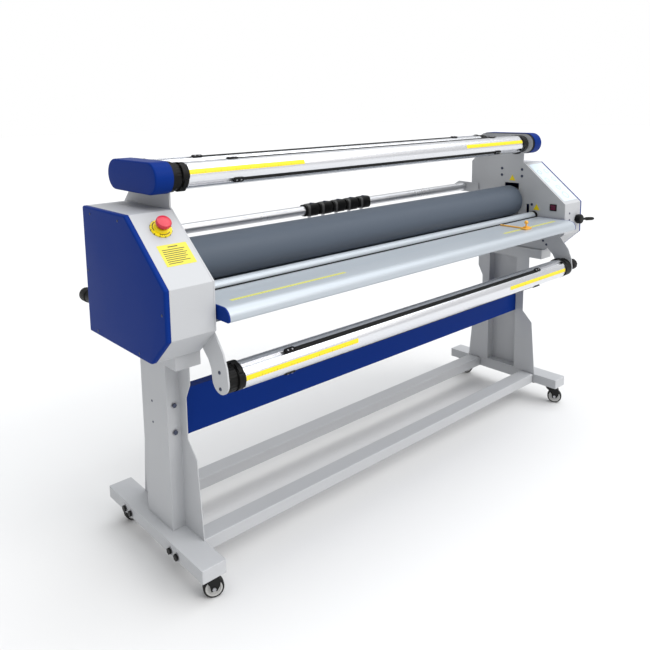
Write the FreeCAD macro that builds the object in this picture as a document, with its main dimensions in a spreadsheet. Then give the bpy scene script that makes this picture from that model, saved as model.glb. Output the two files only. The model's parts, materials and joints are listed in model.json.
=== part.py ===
import FreeCAD, Part
import math
import operator
import os
from types import SimpleNamespace

import Sketcher
from FreeCAD import Placement, Rotation, Vector

# Cold roll laminator for wide vinyl and film, millimetres.
# X runs along the rollers, to the machine's right seen from the front; -Y is the front; Z is up.
# The origin is on the floor, midway between the two sides and between the ends of the foot bars.

doc = FreeCAD.newDocument("cold_roll_laminator")
sheet = doc.addObject("Spreadsheet::Sheet", "dims")

DRIVING = {
    # overall and stand
    "foot_inner": 853.5,
    "foot_outer": 929.5,
    "foot_reach": 272.5,
    "foot_base": 78.0,
    "foot_top": 117.0,
    "tube_wall": 3.0,
    "beam_near": 106.0,
    "beam_far": 166.0,
    "post_flange": 854.0,
    "post_back": 898.0,
    "post_sheet": 3.0,
    "column_half": 71.5,
    "post_base_half": 170.0,
    "post_knee_half": 149.0,
    "post_knee_z": 347.0,
    "post_waist_half": 105.0,
    "post_waist_low": 392.0,
    "post_waist_high": 515.0,
    "post_crown_half": 128.0,
    "post_crown_z": 560.0,
    "post_floor": 6.0,
    "top_bar_base": 636.0,
    "top_bar_reach": 185.0,
    "tie_low": 388.0,
    "tie_high": 525.0,
    "tie_half": 892.0,
    "tie_lip": 34.0,
    "tie_sheet": 2.0,
    # head
    "head_base": 676.0,
    "plate_face": 861.0,
    "plate_thick": 5.0,
    "cover_outer": 1002.5,
    "cover_deep": 13.0,
    "casing_sheet": 2.0,
    "cover_sheet": 2.5,
    "casing_front": 278.0,
    "casing_rear": 165.0,
    "casing_top": 1040.0,
    "slope_low": 881.0,
    "slope_top": 90.0,
    "chin_z": 754.0,
    "chin_y": 195.0,
    "chin_bend": 25.0,
    "sheet_bend": 4.0,
    "plate_rear": 180.0,
    "neck_front": 81.0,
    "neck_rear": 150.0,
    "neck_knee": 1068.0,
    # shafts that carry the webs
    "shaft_z": 1126.0,
    "supply_y": 83.0,
    "takeup_y": 107.0,
    "stadium_half": 43.0,
    "collar_outer": 880.0,
    "top_cover_inner": 874.0,
    "top_cover_outer": 927.0,
    "supply_left": 838.0,
    "supply_right": 802.0,
    "supply_hub_right": 836.0,
    "lower_left": 822.0,
    "lower_right": 816.0,
    "hub_gap": 0.4,
    "shaft_skin": 37.0,
    "shaft_bore": 24.0,
    "groove_wide": 12.0,
    "groove_deep": 8.0,
    "grip_start": 680.0,
    "grip_stop": 630.0,
    "grip_wide": 11.4,
    "grip_proud": 1.0,
    "axle": 12.0,
    "hub_flange": 41.5,
    "hub_lip": 14.0,
    "hub_rim": 6.0,
    "hub_grip": 36.0,
    "lower_y": 285.0,
    "lower_z": 622.0,
    "arm_thick": 5.0,
    "arm_end": 36.0,
    "running_gap": 0.06,
    # nip rollers
    "roller_y": 28.0,
    "roller_z": 878.0,
    "roller_skin": 65.0,
    "roller_core": 57.0,
    "roller_tube": 10.0,
    "roller_half": 845.0,
    "core_half": 840.0,
    "nip_gap": 0.5,
    "journal": 20.0,
    "journal_bore": 8.0,
    "bearing_end": 900.0,
    "block_half": 34.0,
    "block_low": 820.0,
    "block_high": 930.0,
    "slot_high": 953.0,
    "slot_play": 0.5,
    "bearing_skin": 36.0,
    # drive
    "sprocket_in": 942.0,
    "sprocket_out": 952.0,
    "roller_sprocket": 42.0,
    "motor_sprocket": 26.0,
    "motor_y": 95.0,
    "motor_z": 900.0,
    "motor_shaft": 8.0,
    "gearbox_half": 45.0,
    # feed side
    "idler_y": 138.0,
    "idler_z": 821.0,
    "idler_skin": 17.0,
    "idler_half": 846.0,
    "idler_pin": 5.0,
    "bush_skin": 18.5,
    "nose_round": 28.0,
    "nose_foot": 8.0,
    "table_half": 853.0,
    "table_top": 818.0,
    "table_rear": 158.0,
    "table_front": 330.0,
    "table_thick": 12.0,
    "nose_back": 262.0,
    "nose_base": 781.0,
    "cap_thick": 4.0,
    "guide_x": 569.0,
    "guide_y": 277.0,
    "guide_lift": 0.4,
    # slitter bar behind the nip
    "bar_y": 225.0,
    "bar_z": 917.0,
    "bar_skin": 17.5,
    "bar_half": 856.0,
    "slitter_first": -101.0,
    "slitter_pitch": 69.8,
    "slitter_long": 62.0,
    "slitter_deep": 44.0,
    "slitter_tall": 46.0,
    # controls
    "lever_x": 960.0,
    "lever_z": 811.0,
    "lever_hub": 20.0,
    "lever_tip": 1064.0,
    "stop_x": 925.0,
    "stop_down": 60.0,
    "stop_base": 30.0,
    "stop_cap": 21.0,
    "stop_stem": 12.0,
    "rocker_y": 226.0,
    "rocker_z": 863.0,
    "rocker_hole_y": 15.0,
    "rocker_hole_z": 14.0,
    "inlet_x": 972.0,
    "inlet_z": 761.0,
    "inlet_skin": 21.0,
    # feet
    "caster_x": 891.0,
    "caster_y": 229.0,
    "caster_trail": 18.0,
    "wheel_skin": 29.0,
    "wheel_wide": 22.0,
    "wheel_pin": 4.0,
    "caster_stem": 6.0,
    "leveller_y": 150.0,
}

OPERATIONS = {"+": operator.add, "-": operator.sub, "*": operator.mul, "/": operator.truediv}


class Size:
    """A number that also knows the spreadsheet formula it comes from."""

    def __init__(self, value, text):
        self.value = value
        self.text = text

    def __add__(self, other):
        return combine(self, "+", other)

    def __radd__(self, other):
        return combine(other, "+", self)

    def __sub__(self, other):
        return combine(self, "-", other)

    def __rsub__(self, other):
        return combine(other, "-", self)

    def __mul__(self, other):
        return combine(self, "*", other)

    def __rmul__(self, other):
        return combine(other, "*", self)

    def __truediv__(self, other):
        return combine(self, "/", other)

    def __neg__(self):
        return combine(0.0, "-", self)


def as_size(number):
    return number if isinstance(number, Size) else Size(float(number), f"({float(number)!r})")


def combine(left, sign, right):
    left = as_size(left)
    right = as_size(right)
    value = OPERATIONS[sign](left.value, right.value)
    return Size(value, f"({left.text} {sign} {right.text})")


def angle_of(rise, run):
    """The angle, in degrees, of a line that climbs rise over run."""
    rise = as_size(rise)
    run = as_size(run)
    value = math.degrees(math.atan2(rise.value, run.value))
    return Size(value, f"atan({rise.text} / {run.text})")


for row, (name, number) in enumerate(DRIVING.items(), start=1):
    sheet.set(f"A{row}", name)
    sheet.set(f"B{row}", str(number))
    sheet.setAlias(f"B{row}", name)
doc.recompute()
D = SimpleNamespace(**{name: Size(number, f"dims.{name}") for name, number in DRIVING.items()})

TURN = {
    "x": Rotation(Vector(0, 1, 0), 90),
    "y": Rotation(Vector(1, 0, 0), -90),
    "z": Rotation(),
}
TURN_FROM_X = {
    "x": Rotation(),
    "y": Rotation(Vector(0, 0, 1), 90),
    "z": Rotation(Vector(0, 1, 0), -90),
}
sub_parts = []


def tie(obj, **formulas):
    """Bind properties of obj to spreadsheet formulas."""
    for prop, size in formulas.items():
        obj.setExpression(prop.replace("__", "."), as_size(size).text)


def place(obj, x, y, z, rotation=None):
    """Put obj at x, y, z."""
    obj.Placement = Placement(Vector(), rotation or Rotation())
    tie(obj, Placement__Base__x=x, Placement__Base__y=y, Placement__Base__z=z)
    return obj


def sub_part(label, obj):
    """Name obj as a finished sub-part."""
    obj.Label = label
    sub_parts.append(obj)
    return obj


def block(name, x, y, z):
    """A box between the two values of each of x, y and z."""
    box = doc.addObject("Part::Box", name)
    tie(box, Length=x[1] - x[0], Width=y[1] - y[0], Height=z[1] - z[0])
    return place(box, as_size(x[0]), as_size(y[0]), as_size(z[0]))


def rod(name, axis, radius, span, x=0.0, y=0.0, z=0.0):
    """A round bar along axis, between the two values of span."""
    bar = doc.addObject("Part::Cylinder", name)
    tie(bar, Radius=radius, Height=span[1] - span[0])
    start = {"x": as_size(x), "y": as_size(y), "z": as_size(z)}
    start[axis] = as_size(span[0])
    return place(bar, start["x"], start["y"], start["z"], TURN[axis])


def fuse(name, shapes):
    joined = doc.addObject("Part::MultiFuse", name)
    joined.Shapes = shapes
    return joined


def cut(name, base, tools):
    """base less every tool."""
    for number, tool in enumerate(tools, start=1):
        less = doc.addObject("Part::Cut", f"{name}_cut{number}")
        less.Base = base
        less.Tool = tool
        base = less
    return base


def group(name, shapes):
    """Separate solids kept as one sub-part."""
    together = doc.addObject("Part::Compound", name)
    together.Links = shapes
    return together


def mirrored(name, source):
    """The same piece on the other side of the machine's middle."""
    twin = doc.addObject("Part::Mirroring", name)
    twin.Source = source
    twin.Normal = Vector(1, 0, 0)
    return twin


def sketch_on(body, role, lift=None):
    """An empty sketch on one of the body's origin planes, lifted off it by lift."""
    sketch = body.newObject("Sketcher::SketchObject", body.Name + "_sketch")
    plane = next(feature for feature in body.Origin.OriginFeatures if feature.Role == role)
    sketch.AttachmentSupport = [(plane, "")]
    sketch.MapMode = "FlatFace"
    if lift is not None:
        tie(sketch, AttachmentOffset__Base__z=lift)
    return sketch


def fix_point(sketch, geometry, end, across, up):
    """Hold one point of a sketch at a pair of formulas."""
    for kind, size in (("DistanceX", as_size(across)), ("DistanceY", as_size(up))):
        index = sketch.addConstraint(Sketcher.Constraint(kind, -1, 1, geometry, end, size.value))
        sketch.setExpression(f"Constraints[{index}]", size.text)


def draw_polygon(sketch, points):
    """A closed outline of straight lines, each corner held at its formulas."""
    corners = [Vector(as_size(a).value, as_size(b).value, 0) for a, b in points]
    count = len(corners)
    for here in range(count):
        line = Part.LineSegment(corners[here], corners[(here + 1) % count])
        sketch.addGeometry(line, False)
    for here in range(count):
        sketch.addConstraint(Sketcher.Constraint("Coincident", here, 2, (here + 1) % count, 1))
    for here, (across, up) in enumerate(points):
        fix_point(sketch, here, 1, across, up)


def draw_slot(sketch, left, right, up, radius):
    """A slot outline: two half circles about (left, up) and (right, up), and two lines."""
    left, right, up, radius = (as_size(size) for size in (left, right, up, radius))
    quarter = math.pi / 2
    ends = ((left, quarter, 3 * quarter), (right, -quarter, quarter))
    for centre, start, stop in ends:
        circle = Part.Circle(Vector(centre.value, up.value, 0), Vector(0, 0, 1), radius.value)
        sketch.addGeometry(Part.ArcOfCircle(circle, start, stop), False)
    low = up.value - radius.value
    high = up.value + radius.value
    sketch.addGeometry(Part.LineSegment(Vector(left.value, low, 0), Vector(right.value, low, 0)), False)
    sketch.addGeometry(Part.LineSegment(Vector(right.value, high, 0), Vector(left.value, high, 0)), False)
    for first, first_end, second, second_end in ((0, 2, 2, 1), (2, 2, 1, 1), (1, 2, 3, 1), (3, 2, 0, 1)):
        sketch.addConstraint(Sketcher.Constraint("Tangent", first, first_end, second, second_end))
    fix_point(sketch, 0, 3, left, up)
    fix_point(sketch, 1, 3, right, up)
    index = sketch.addConstraint(Sketcher.Constraint("Radius", 0, radius.value))
    sketch.setExpression(f"Constraints[{index}]", radius.text)


def new_body(name):
    return doc.addObject("PartDesign::Body", name)


def pad(body, sketch, length):
    feature = body.newObject("PartDesign::Pad", body.Name + "_pad")
    feature.Profile = sketch
    tie(feature, Length=length)
    doc.recompute()
    return feature


def pocket(body, sketch, length, backwards=True):
    """A pocket, checked to have taken material away."""
    before = body.Shape.Volume
    feature = body.newObject("PartDesign::Pocket", body.Name + "_pocket")
    feature.Profile = sketch
    feature.Reversed = backwards
    tie(feature, Length=length)
    doc.recompute()
    if body.Shape.Volume >= before:
        raise RuntimeError(f"{feature.Name} cut nothing")
    return feature


def side_profile(name, points, inner, outer):
    """A flat piece with an outline in Y and Z, between x = inner and x = outer."""
    body = new_body(name)
    sketch = sketch_on(body, "YZ_Plane", inner)
    draw_polygon(sketch, points)
    pad(body, sketch, outer - inner)
    place(body, as_size(0.0), as_size(0.0), as_size(0.0))
    doc.recompute()
    return body


def edges_along_x(shape, corners):
    """Names of the edges parallel to X that pass through the given (y, z) corners."""
    found = []
    for number, edge in enumerate(shape.Edges, start=1):
        first, last = edge.Vertexes[0].Point, edge.Vertexes[-1].Point
        if abs(first.y - last.y) > 0.01 or abs(first.z - last.z) > 0.01:
            continue
        for across, up in corners:
            if abs(first.y - across) < 0.05 and abs(first.z - up) < 0.05:
                found.append(f"Edge{number}")
    return found


def edges_at_x(shape, x):
    """Names of the edges that lie in the plane at x."""
    found = []
    for number, edge in enumerate(shape.Edges, start=1):
        if abs(edge.BoundBox.XMin - x) < 0.01 and abs(edge.BoundBox.XMax - x) < 0.01:
            found.append(f"Edge{number}")
    return found


def faces_at_x(shape, x):
    """Names of the flat faces that lie in the plane at x."""
    found = []
    for number, face in enumerate(shape.Faces, start=1):
        if abs(face.BoundBox.XMin - x) < 0.01 and abs(face.BoundBox.XMax - x) < 0.01:
            found.append(f"Face{number}")
    return found


def fillet(body, base, names, radius):
    feature = body.newObject("PartDesign::Fillet", body.Name + "_fillet")
    feature.Base = (base, names)
    tie(feature, Radius=radius)
    doc.recompute()
    return feature


def hollow(body, base, names, wall):
    """Turn a solid into a shell of the given wall, open at the named faces."""
    feature = body.newObject("PartDesign::Thickness", body.Name + "_shell")
    feature.Base = (base, names)
    feature.Reversed = True
    tie(feature, Value=wall)
    doc.recompute()
    return feature


def turned(name, axis, stations, x=0.0, y=0.0, z=0.0):
    """A turned piece: stations are (place along the axis, radius), as one closed outline."""
    body = new_body(name)
    sketch = sketch_on(body, "XY_Plane")
    draw_polygon(sketch, stations)
    feature = body.newObject("PartDesign::Revolution", name + "_turn")
    feature.Profile = sketch
    feature.ReferenceAxis = (sketch, ["H_Axis"])
    place(body, as_size(x), as_size(y), as_size(z), TURN_FROM_X[axis])
    doc.recompute()
    return body


# ---------------------------------------------------------------- stand


def hollow_bar(name, x, y, z, holes):
    """A rectangular tube with closed ends, and round holes into its hollow."""
    outside = block(name + "_outside", x, y, z)
    inside = block(
        name + "_inside",
        (x[0] + D.tube_wall, x[1] - D.tube_wall),
        (y[0] + D.tube_wall, y[1] - D.tube_wall),
        (z[0] + D.tube_wall, z[1] - D.tube_wall),
    )
    return cut(name, outside, [inside, *holes])


def make_foot_bars():
    stem_hole = D.caster_stem + D.running_gap
    middle = (D.foot_base - 1.0, D.foot_base + D.tube_wall + 1.0)
    holes = [
        rod(f"stem_hole{number}", "z", stem_hole, middle, D.caster_x, sign * D.caster_y)
        for number, sign in enumerate((-1, 1))
    ]
    right = hollow_bar(
        "foot_bar",
        (D.foot_inner, D.foot_outer),
        (-D.foot_reach, D.foot_reach),
        (D.foot_base, D.foot_top),
        holes,
    )
    sub_part("foot_bars", group("foot_bar_pair", [right, mirrored("foot_bar_twin", right)]))


def make_cross_beams():
    beams = []
    for name, y in (("front", (-D.beam_far, -D.beam_near)), ("rear", (D.beam_near, D.beam_far))):
        outside = block(f"{name}_beam_outside", (-D.foot_inner, D.foot_inner), y, (D.foot_base, D.foot_top))
        inside = block(
            f"{name}_beam_inside",
            (-D.foot_inner - 1.0, D.foot_inner + 1.0),
            (y[0] + D.tube_wall, y[1] - D.tube_wall),
            (D.foot_base + D.tube_wall, D.foot_top - D.tube_wall),
        )
        beams.append(cut(f"{name}_beam", outside, [inside]))
    sub_part("cross_beams", group("cross_beam_pair", beams))


def make_posts():
    """Each post is a folded hat section: a box column outside and waisted flanges inside."""
    widths = (
        (D.foot_top, D.post_base_half),
        (D.post_knee_z, D.post_knee_half),
        (D.post_waist_low, D.post_waist_half),
        (D.post_waist_high, D.post_waist_half),
        (D.post_crown_z, D.post_crown_half),
        (D.top_bar_base, D.post_crown_half),
    )
    front_edge = [(-half, z) for z, half in widths]
    rear_edge = [(half, z) for z, half in reversed(widths)]
    body = new_body("post_body")
    flanges = sketch_on(body, "YZ_Plane", D.post_flange)
    draw_polygon(flanges, front_edge + rear_edge)
    pad(body, flanges, D.post_sheet)
    column = sketch_on(body, "YZ_Plane", D.post_flange)
    draw_polygon(column, rectangle(D.column_half, D.foot_top, D.top_bar_base))
    pad(body, column, D.post_back - D.post_flange)
    recess = sketch_on(body, "YZ_Plane", D.post_flange)
    inner_half = D.column_half - D.post_sheet
    draw_polygon(recess, rectangle(inner_half, D.foot_top + D.post_floor, D.top_bar_base - D.post_floor))
    pocket(body, recess, D.post_back - D.post_flange - D.post_sheet)
    place(body, as_size(0.0), as_size(0.0), as_size(0.0))
    sub_part("post_right", body)
    sub_part("post_left", mirrored("post_twin", body))


def rectangle(half, low, high):
    return [(-half, low), (half, low), (half, high), (-half, high)]


def make_top_bars():
    drain = rod(
        "top_bar_hole", "z", 10.0, (D.top_bar_base - 1.0, D.top_bar_base + D.tube_wall + 1.0), D.caster_x + 25.0, 110.0
    )
    bar = hollow_bar(
        "top_bar",
        (D.foot_inner, D.foot_outer),
        (-D.top_bar_reach, D.top_bar_reach),
        (D.top_bar_base, D.head_base),
        [drain],
    )
    sub_part("top_bars", group("top_bar_pair", [bar, mirrored("top_bar_twin", bar)]))


def make_tie_panel():
    """A folded channel between the posts, open to the rear, held against the columns' front walls."""
    face = -(D.column_half - D.post_sheet)
    outline = [
        (face, D.tie_low),
        (face, D.tie_high),
        (face + D.tie_lip, D.tie_high),
        (face + D.tie_lip, D.tie_high - D.tie_sheet),
        (face + D.tie_sheet, D.tie_high - D.tie_sheet),
        (face + D.tie_sheet, D.tie_low + D.tie_sheet),
        (face + D.tie_lip, D.tie_low + D.tie_sheet),
        (face + D.tie_lip, D.tie_low),
    ]
    sub_part("tie_panel", side_profile("tie_panel_body", outline, -D.tie_half, D.tie_half))


def hex_head(name, radius, height, x, y, z, rotation):
    head = doc.addObject("Part::Prism", name)
    head.Polygon = 6
    tie(head, Circumradius=radius, Height=height)
    return place(head, as_size(x), as_size(y), as_size(z), rotation)


def make_frame_bolts():
    """Hex heads outside the foot bars, and on the front walls of the columns."""
    heads = []
    for side in (-1, 1):
        for y in (-145.0, -109.0, 125.0, 161.0):
            x = D.foot_outer if side > 0 else -D.foot_outer - 8.0
            heads.append(
                hex_head(f"foot_bolt{len(heads)}", 11.0, 8.0, x, y, D.foot_base + 14.0, TURN["x"])
            )
        for z in (409.0, 489.0):
            x = (D.post_flange + D.post_back) / 2.0 * side
            heads.append(
                hex_head(f"column_bolt{len(heads)}", 8.0, 5.0, x, -D.column_half - 5.0, z, TURN["y"])
            )
    sub_part("frame_bolts", group("frame_bolt_group", heads))


def make_levellers():
    """Screwed feet, wound up clear of the floor while the machine stands on its casters."""
    feet = []
    for side in (-1, 1):
        for sign in (-1, 1):
            feet.append(
                turned(
                    f"leveller{len(feet)}",
                    "z",
                    [
                        (-16.0, 0.0),
                        (-16.0, 8.0),
                        (-12.0, 9.0),
                        (-10.0, 5.0),
                        (-5.0, 5.0),
                        (-5.0, 8.0),
                        (0.0, 8.0),
                        (0.0, 0.0),
                    ],
                    D.caster_x * side,
                    D.leveller_y * sign,
                    D.foot_base,
                )
            )
    sub_part("levelling_feet", group("leveller_group", feet))


# ---------------------------------------------------------------- head

CASING = [
    (D.casing_rear, D.head_base),
    (-D.chin_y, D.head_base),
    (-D.casing_front, D.chin_z),
    (-D.casing_front, D.slope_low),
    (-D.slope_top, D.casing_top),
    (D.casing_rear, D.casing_top),
]


def corner_values(corner):
    return (corner[0].value, corner[1].value)


def head_shell(name, inner, outer, wall, open_at, edge_round):
    """A hollow shell with the head's side outline, open at the given x planes."""
    body = side_profile(name, CASING, inner, outer)
    chin = [corner_values(CASING[1])]
    others = [corner_values(corner) for number, corner in enumerate(CASING) if number != 1]
    rounded = fillet(body, body.Tip, edges_along_x(body.Shape, chin), D.chin_bend)
    rounded = fillet(body, rounded, edges_along_x(body.Shape, others), D.sheet_bend)
    names = []
    for plane in open_at:
        names += faces_at_x(body.Shape, plane.value)
    shell = hollow(body, rounded, names, wall)
    if edge_round is not None:
        fillet(body, shell, edges_at_x(body.Shape, outer.value), edge_round)
    return body


def make_casings():
    inner = D.plate_face + D.plate_thick
    outer = D.cover_outer - D.cover_deep
    body = head_shell("casing_body", inner, outer, D.casing_sheet, (inner, outer), None)
    sub_part("casing_right", body)
    sub_part("casing_left", mirrored("casing_twin", body))


def make_side_covers():
    inner = D.cover_outer - D.cover_deep
    body = head_shell("side_cover_body", inner, D.cover_outer, D.cover_sheet, (inner,), as_size(6.0))
    sub_part("side_covers", group("side_cover_pair", [body, mirrored("side_cover_twin", body)]))


def make_side_plates():
    """The load-carrying plates: the head's outline, a neck, and a slot-shaped top for two shafts."""
    outline = [
        (D.plate_rear, D.head_base),
        (-D.chin_y, D.head_base),
        (-D.casing_front, D.chin_z),
        (-D.casing_front, D.slope_low),
        (-D.slope_top, D.casing_top),
        (-D.neck_front, D.casing_top + 6.0),
        (-D.neck_front, D.shaft_z),
        (D.takeup_y + 20.0, D.shaft_z),
        (D.takeup_y + 20.0, D.shaft_z - 32.0),
        (D.neck_rear - 5.0, D.neck_knee + 12.0),
        (D.neck_rear, D.neck_knee),
        (D.plate_rear, D.casing_top - 2.0),
    ]
    body = side_profile("side_plate_body", outline, D.plate_face, D.plate_face + D.plate_thick)
    crown = sketch_on(body, "YZ_Plane", D.plate_face)
    draw_slot(crown, -D.supply_y, D.takeup_y, D.shaft_z, D.stadium_half - D.cover_sheet - 0.3)
    pad(body, crown, D.plate_thick)
    through = (D.plate_face - 1.0, D.plate_face + D.plate_thick + 1.0)
    slot_half = D.block_half + D.slot_play
    tools = [
        block(
            "bearing_slot",
            through,
            (-D.roller_y - slot_half, -D.roller_y + slot_half),
            (D.block_low - 1.0, D.slot_high),
        ),
        block(
            "rocker_hole",
            through,
            (-D.rocker_y - D.rocker_hole_y, -D.rocker_y + D.rocker_hole_y),
            (D.rocker_z - D.rocker_hole_z, D.rocker_z + D.rocker_hole_z),
        ),
        block("strap_slot", through, (-115.0, -101.0), (828.0, 867.0)),
        rod("lower_bearing_hole", "x", D.bearing_skin, through, 0.0, -D.roller_y, lower_roller_z()),
        rod("supply_hole", "x", D.axle + D.running_gap, through, 0.0, -D.supply_y, D.shaft_z),
        rod("takeup_hole", "x", D.axle + D.running_gap, through, 0.0, D.takeup_y, D.shaft_z),
    ]
    plate = cut("side_plate", body, tools)
    sub_part("side_plate_right", plate)
    sub_part("side_plate_left", mirrored("side_plate_twin", plate))


def lower_roller_z():
    return D.roller_z - 2.0 * D.roller_skin - D.nip_gap


def make_top_covers():
    """Slot-shaped caps over the ends of the two top shafts, each on a collar against its plate."""
    inner = D.top_cover_inner
    body = new_body("top_cover_body")
    sketch = sketch_on(body, "YZ_Plane", inner)
    draw_slot(sketch, -D.supply_y, D.takeup_y, D.shaft_z, D.stadium_half)
    base = pad(body, sketch, D.top_cover_outer - inner)
    shell = hollow(body, base, faces_at_x(body.Shape, inner.value), D.cover_sheet)
    fillet(body, shell, edges_at_x(body.Shape, D.top_cover_outer.value), as_size(5.0))
    place(body, as_size(0.0), as_size(0.0), as_size(0.0))
    start = D.plate_face + D.plate_thick + 0.2
    collar = new_body("collar_body")
    outer = sketch_on(collar, "YZ_Plane", start)
    draw_slot(outer, -D.supply_y, D.takeup_y, D.shaft_z, D.stadium_half - D.cover_sheet + 0.2)
    ring = pad(collar, outer, D.collar_outer - start)
    hollow(collar, ring, faces_at_x(collar.Shape, start.value) + faces_at_x(collar.Shape, D.collar_outer.value),
           D.cover_sheet)
    right = fuse("top_cover", [body, collar])
    sub_part("top_covers", group("top_cover_pair", [right, mirrored("top_cover_twin", right)]))


def make_panel_screws():
    """Button-head screws on the inner faces of the side plates, and on the blue covers."""
    spots = [
        (22.0, 1014.0),
        (22.0, 985.0),
        (-76.0, 1014.0),
        (-76.0, 985.0),
        (156.0, 885.0),
        (-128.0, 867.0),
    ]
    heads = []
    for y, z in spots:
        heads.append(rod(f"screw{len(heads)}", "x", 6.0, (D.plate_face - 3.0, D.plate_face), 0.0, y, z))
    cover_spots = [
        (114.0, 1022.0),
        (-53.0, 1022.0),
        (149.0, 858.0),
        (107.0, 690.0),
        (-136.0, 690.0),
        (-262.0, 819.0),
    ]
    for y, z in cover_spots:
        heads.append(rod(f"screw{len(heads)}", "x", 3.5, (D.cover_outer, D.cover_outer + 1.2), 0.0, y, z))
    right = group("screws_right_side", heads)
    sub_part("panel_screws", group("screw_group", [right, mirrored("screws_left_side", right)]))


def make_lower_arms():
    """Curved straps under the head that carry the lower shaft."""
    y = D.lower_y
    z = D.lower_z
    outline = [
        (-y - D.arm_end, z),
        (-y - D.arm_end + 5.0, z + 38.0),
        (-y - 16.0, z + 76.0),
        (-y + 14.0, z + 114.0),
        (-y + 40.0, z + 140.0),
        (-y + 110.0, z + 140.0),
        (-y + 112.0, z + 96.0),
        (-y + 75.0, z + 67.0),
        (-y + 50.0, z + 43.0),
        (-y + D.arm_end + 3.0, z + 22.0),
        (-y + D.arm_end, z),
    ]
    inner = D.plate_face - D.arm_thick
    strap = side_profile("arm_strap", outline, inner, D.plate_face)
    end = rod("arm_end", "x", D.arm_end, (inner, D.plate_face), 0.0, -y, z)
    hole = rod("arm_hole", "x", D.axle + D.running_gap, (inner - 1.0, D.plate_face - 1.5), 0.0, -y, z)
    arm = cut("lower_arm", fuse("arm_blank", [strap, end]), [hole])
    sub_part("lower_arms", group("lower_arm_pair", [arm, mirrored("lower_arm_twin", arm)]))


# ---------------------------------------------------------------- rollers and drive


def make_roller(name, z, left_end):
    """A nip roller: a steel tube with turned ends, and a thick rubber sleeve."""
    cavity = D.core_half - 12.0
    inside = D.roller_core - D.roller_tube
    core = [
        (-left_end, D.journal_bore),
        (-left_end, D.journal),
        (-D.core_half, D.journal),
        (-D.core_half, D.roller_core),
        (D.core_half, D.roller_core),
        (D.core_half, D.journal),
        (D.bearing_end, D.journal),
        (D.bearing_end, D.journal_bore),
        (cavity, D.journal_bore),
        (cavity, inside),
        (-cavity, inside),
        (-cavity, D.journal_bore),
    ]
    sub_part(f"{name}_core", turned(f"{name}_core_body", "x", core, 0.0, -D.roller_y, z))
    sleeve = [
        (-D.roller_half, D.roller_core),
        (-D.roller_half, D.roller_skin - 2.0),
        (-D.roller_half + 2.0, D.roller_skin),
        (D.roller_half - 2.0, D.roller_skin),
        (D.roller_half, D.roller_skin - 2.0),
        (D.roller_half, D.roller_core),
    ]
    sub_part(f"{name}_sleeve", turned(f"{name}_sleeve_body", "x", sleeve, 0.0, -D.roller_y, z))


def make_bearings():
    """Sliding blocks for the upper roller, and fixed rings for the lower one and the idler."""
    inner = D.plate_face - 3.0
    body = block(
        "bearing_block_outside",
        (inner, D.bearing_end + 2.0),
        (-D.roller_y - D.block_half, -D.roller_y + D.block_half),
        (D.block_low, D.block_high),
    )
    bore = D.journal + D.running_gap
    through = (inner - 1.0, D.bearing_end + 3.0)
    hole = rod("bearing_block_bore", "x", bore, through, 0.0, -D.roller_y, D.roller_z)
    blocks = cut("bearing_block", body, [hole])
    sub_part("bearing_blocks", group("bearing_block_pair", [blocks, mirrored("bearing_block_twin", blocks)]))
    ring = [
        (inner, bore),
        (inner, D.bearing_skin + 8.0),
        (D.plate_face, D.bearing_skin + 8.0),
        (D.plate_face, D.bearing_skin),
        (D.plate_face + 22.0, D.bearing_skin),
        (D.plate_face + 22.0, bore),
    ]
    lower = turned("lower_bearing", "x", ring, 0.0, -D.roller_y, lower_roller_z())
    sleeve = [
        (D.idler_half + 3.0, D.idler_pin + D.running_gap),
        (D.idler_half + 3.0, D.bush_skin),
        (D.plate_face, D.bush_skin),
        (D.plate_face, D.idler_pin + D.running_gap),
    ]
    bush = turned("idler_bush", "x", sleeve, 0.0, -D.idler_y, D.idler_z)
    twins = [mirrored("lower_bearing_twin", lower), mirrored("idler_bush_twin", bush)]
    sub_part("fixed_bearings", group("fixed_bearing_group", [lower, bush, *twins]))


def sprocket(name, teeth, tip, bore, y, z, extra):
    """A chain wheel with rounded gaps between its teeth."""
    span = (-D.sprocket_out, -D.sprocket_in)
    disc = rod(f"{name}_disc", "x", tip, span, 0.0, y, z)
    root = tip.value - 4.0
    gaps = []
    for number in range(teeth):
        turn = 2 * math.pi * number / teeth
        gap = rod(
            f"{name}_gap{number}",
            "x",
            4.2,
            (span[0] - 1.0, span[1] + 1.0),
            0.0,
            as_size(y) + (root + 3.0) * math.cos(turn),
            as_size(z) + (root + 3.0) * math.sin(turn),
        )
        gaps.append(gap)
    tools = fuse(f"{name}_gaps", gaps)
    wheel = cut(f"{name}_toothed", disc, [tools])
    if bore is not None:
        wheel = cut(f"{name}_bored", wheel, [rod(f"{name}_bore", "x", bore, (span[0] - 1.0, span[1] + 1.0), 0.0, y, z)])
    if extra:
        wheel = fuse(f"{name}_whole", [wheel, *extra])
    return wheel


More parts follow.
